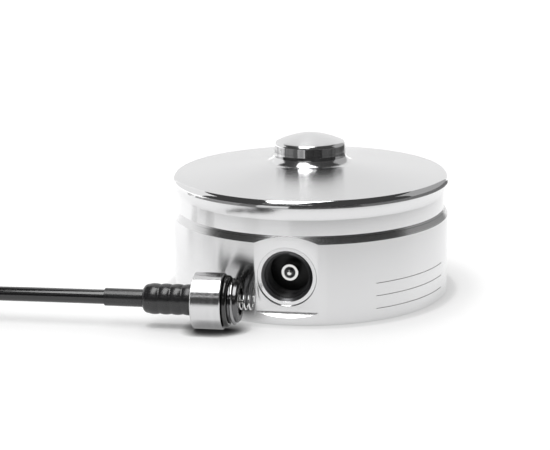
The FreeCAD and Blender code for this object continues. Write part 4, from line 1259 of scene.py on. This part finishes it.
def dark_cards(s):
    """Cards for the dark room in front of the cell: dim near it and on the right, paler on the left."""
    far = (s.gap_start, s.flag_stop)
    card("dark_card", [(-s.gap_right, s.dim_right, *far)], finish("card_black"))
    card("dim_card", [
        (-s.flag_left, s.flag_right, s.flag_start, s.gap_start),
        (-s.pale_left, -s.gap_left, *far),
        (s.dim_right, s.flag_right, *far),
    ], glowing("card_dim", s.dim_glow))
    card("pale_card", [(-s.flag_far, -s.pale_left, *far)], glowing("card_pale", s.pale_glow))
    card("light_card", [(-s.gap_left, -s.gap_right, *far)], glowing("card_light", s.light_glow))


def camera_matrix(s):
    """Camera on a circle round the cell, then pitched, yawed and rolled."""
    turn = Matrix.Rotation(s.azimuth, 3, "Z")
    place = turn @ Vector((0, -math.cos(s.elevation), math.sin(s.elevation))) * s.distance
    ahead = math.cos(s.pitch)
    forward = Vector((math.sin(s.yaw) * ahead, math.cos(s.yaw) * ahead, -math.sin(s.pitch)))
    level = Vector((math.cos(s.yaw), -math.sin(s.yaw), 0))
    upright = level.cross(forward)
    right = level * math.cos(s.roll) + upright * math.sin(s.roll)
    up = upright * math.cos(s.roll) - level * math.sin(s.roll)
    basis = turn @ Matrix((right, up, -forward)).transposed()
    return Matrix.Translation(place) @ basis.to_4x4()


class LOADCELL_OT_stage(Operator):
    """Pale floor, studio light and camera"""
    bl_idname = "loadcell.stage"
    bl_label = "Stage"

    def execute(self, context):
        scene = context.scene
        s = scene.loadcell_stage
        bm = bmesh.new()
        bmesh.ops.create_grid(bm, x_segments=8, y_segments=8, size=s.floor_size)
        stage_sheet(bm, "floor", floor_material(s))
        dark_cards(s)
        for name, lamp in LAMPS.items():
            area_light(name, lamp, getattr(s, lamp.power), s.azimuth)

        world = bpy.data.worlds.new("room")
        world.use_nodes = True
        sky = next(node for node in world.node_tree.nodes if node.type == "BACKGROUND")
        sky.inputs["Color"].default_value = (1, 1, 1, 1)
        sky.inputs["Strength"].default_value = s.room_light
        scene.world = world

        lens = bpy.data.cameras.new("camera")
        lens.sensor_width = SENSOR_WIDTH
        lens.lens = s.focal
        lens.clip_start = NEAREST
        scene.camera = linked("camera", lens)
        scene.camera.matrix_world = camera_matrix(s)
        scene.view_settings.view_transform = "Standard"
        return {"FINISHED"}


GROUPS = {
    "loadcell_body": LOADCELL_PG_body,
    "loadcell_cavity": LOADCELL_PG_cavity,
    "loadcell_socket": LOADCELL_PG_socket,
    "loadcell_plug": LOADCELL_PG_plug,
    "loadcell_cable": LOADCELL_PG_cable,
    "loadcell_stage": LOADCELL_PG_stage,
}

BUILDERS = (
    LOADCELL_OT_body,
    LOADCELL_OT_rules,
    LOADCELL_OT_socket,
    LOADCELL_OT_plug,
    LOADCELL_OT_sleeve,
    LOADCELL_OT_ties,
    LOADCELL_OT_inside,
    LOADCELL_OT_cable,
    LOADCELL_OT_stage,
)


class LOADCELL_PT_build(Panel):
    """Lists the pieces in the order in which they are built"""
    bl_label = "Load Cell"
    bl_idname = "LOADCELL_PT_build"
    bl_space_type = "VIEW_3D"
    bl_region_type = "UI"
    bl_category = "Load Cell"

    def draw(self, context):
        for builder in BUILDERS:
            self.layout.operator(builder.bl_idname)


def register():
    for name, group in GROUPS.items():
        bpy.utils.register_class(group)
        setattr(bpy.types.Scene, name, PointerProperty(type=group))
    for builder in BUILDERS:
        bpy.utils.register_class(builder)
    bpy.utils.register_class(LOADCELL_PT_build)


def unregister():
    bpy.utils.unregister_class(LOADCELL_PT_build)
    for builder in reversed(BUILDERS):
        bpy.utils.unregister_class(builder)
    for name, group in reversed(GROUPS.items()):
        delattr(bpy.types.Scene, name)
        bpy.utils.unregister_class(group)


def main():
    register()
    bpy.ops.loadcell.body()
    bpy.ops.loadcell.rules()
    bpy.ops.loadcell.socket()
    bpy.ops.loadcell.plug()
    bpy.ops.loadcell.sleeve()
    bpy.ops.loadcell.ties()
    bpy.ops.loadcell.inside()
    bpy.ops.loadcell.cable()
    bpy.ops.loadcell.stage()


if __name__ == "__main__":
    main()
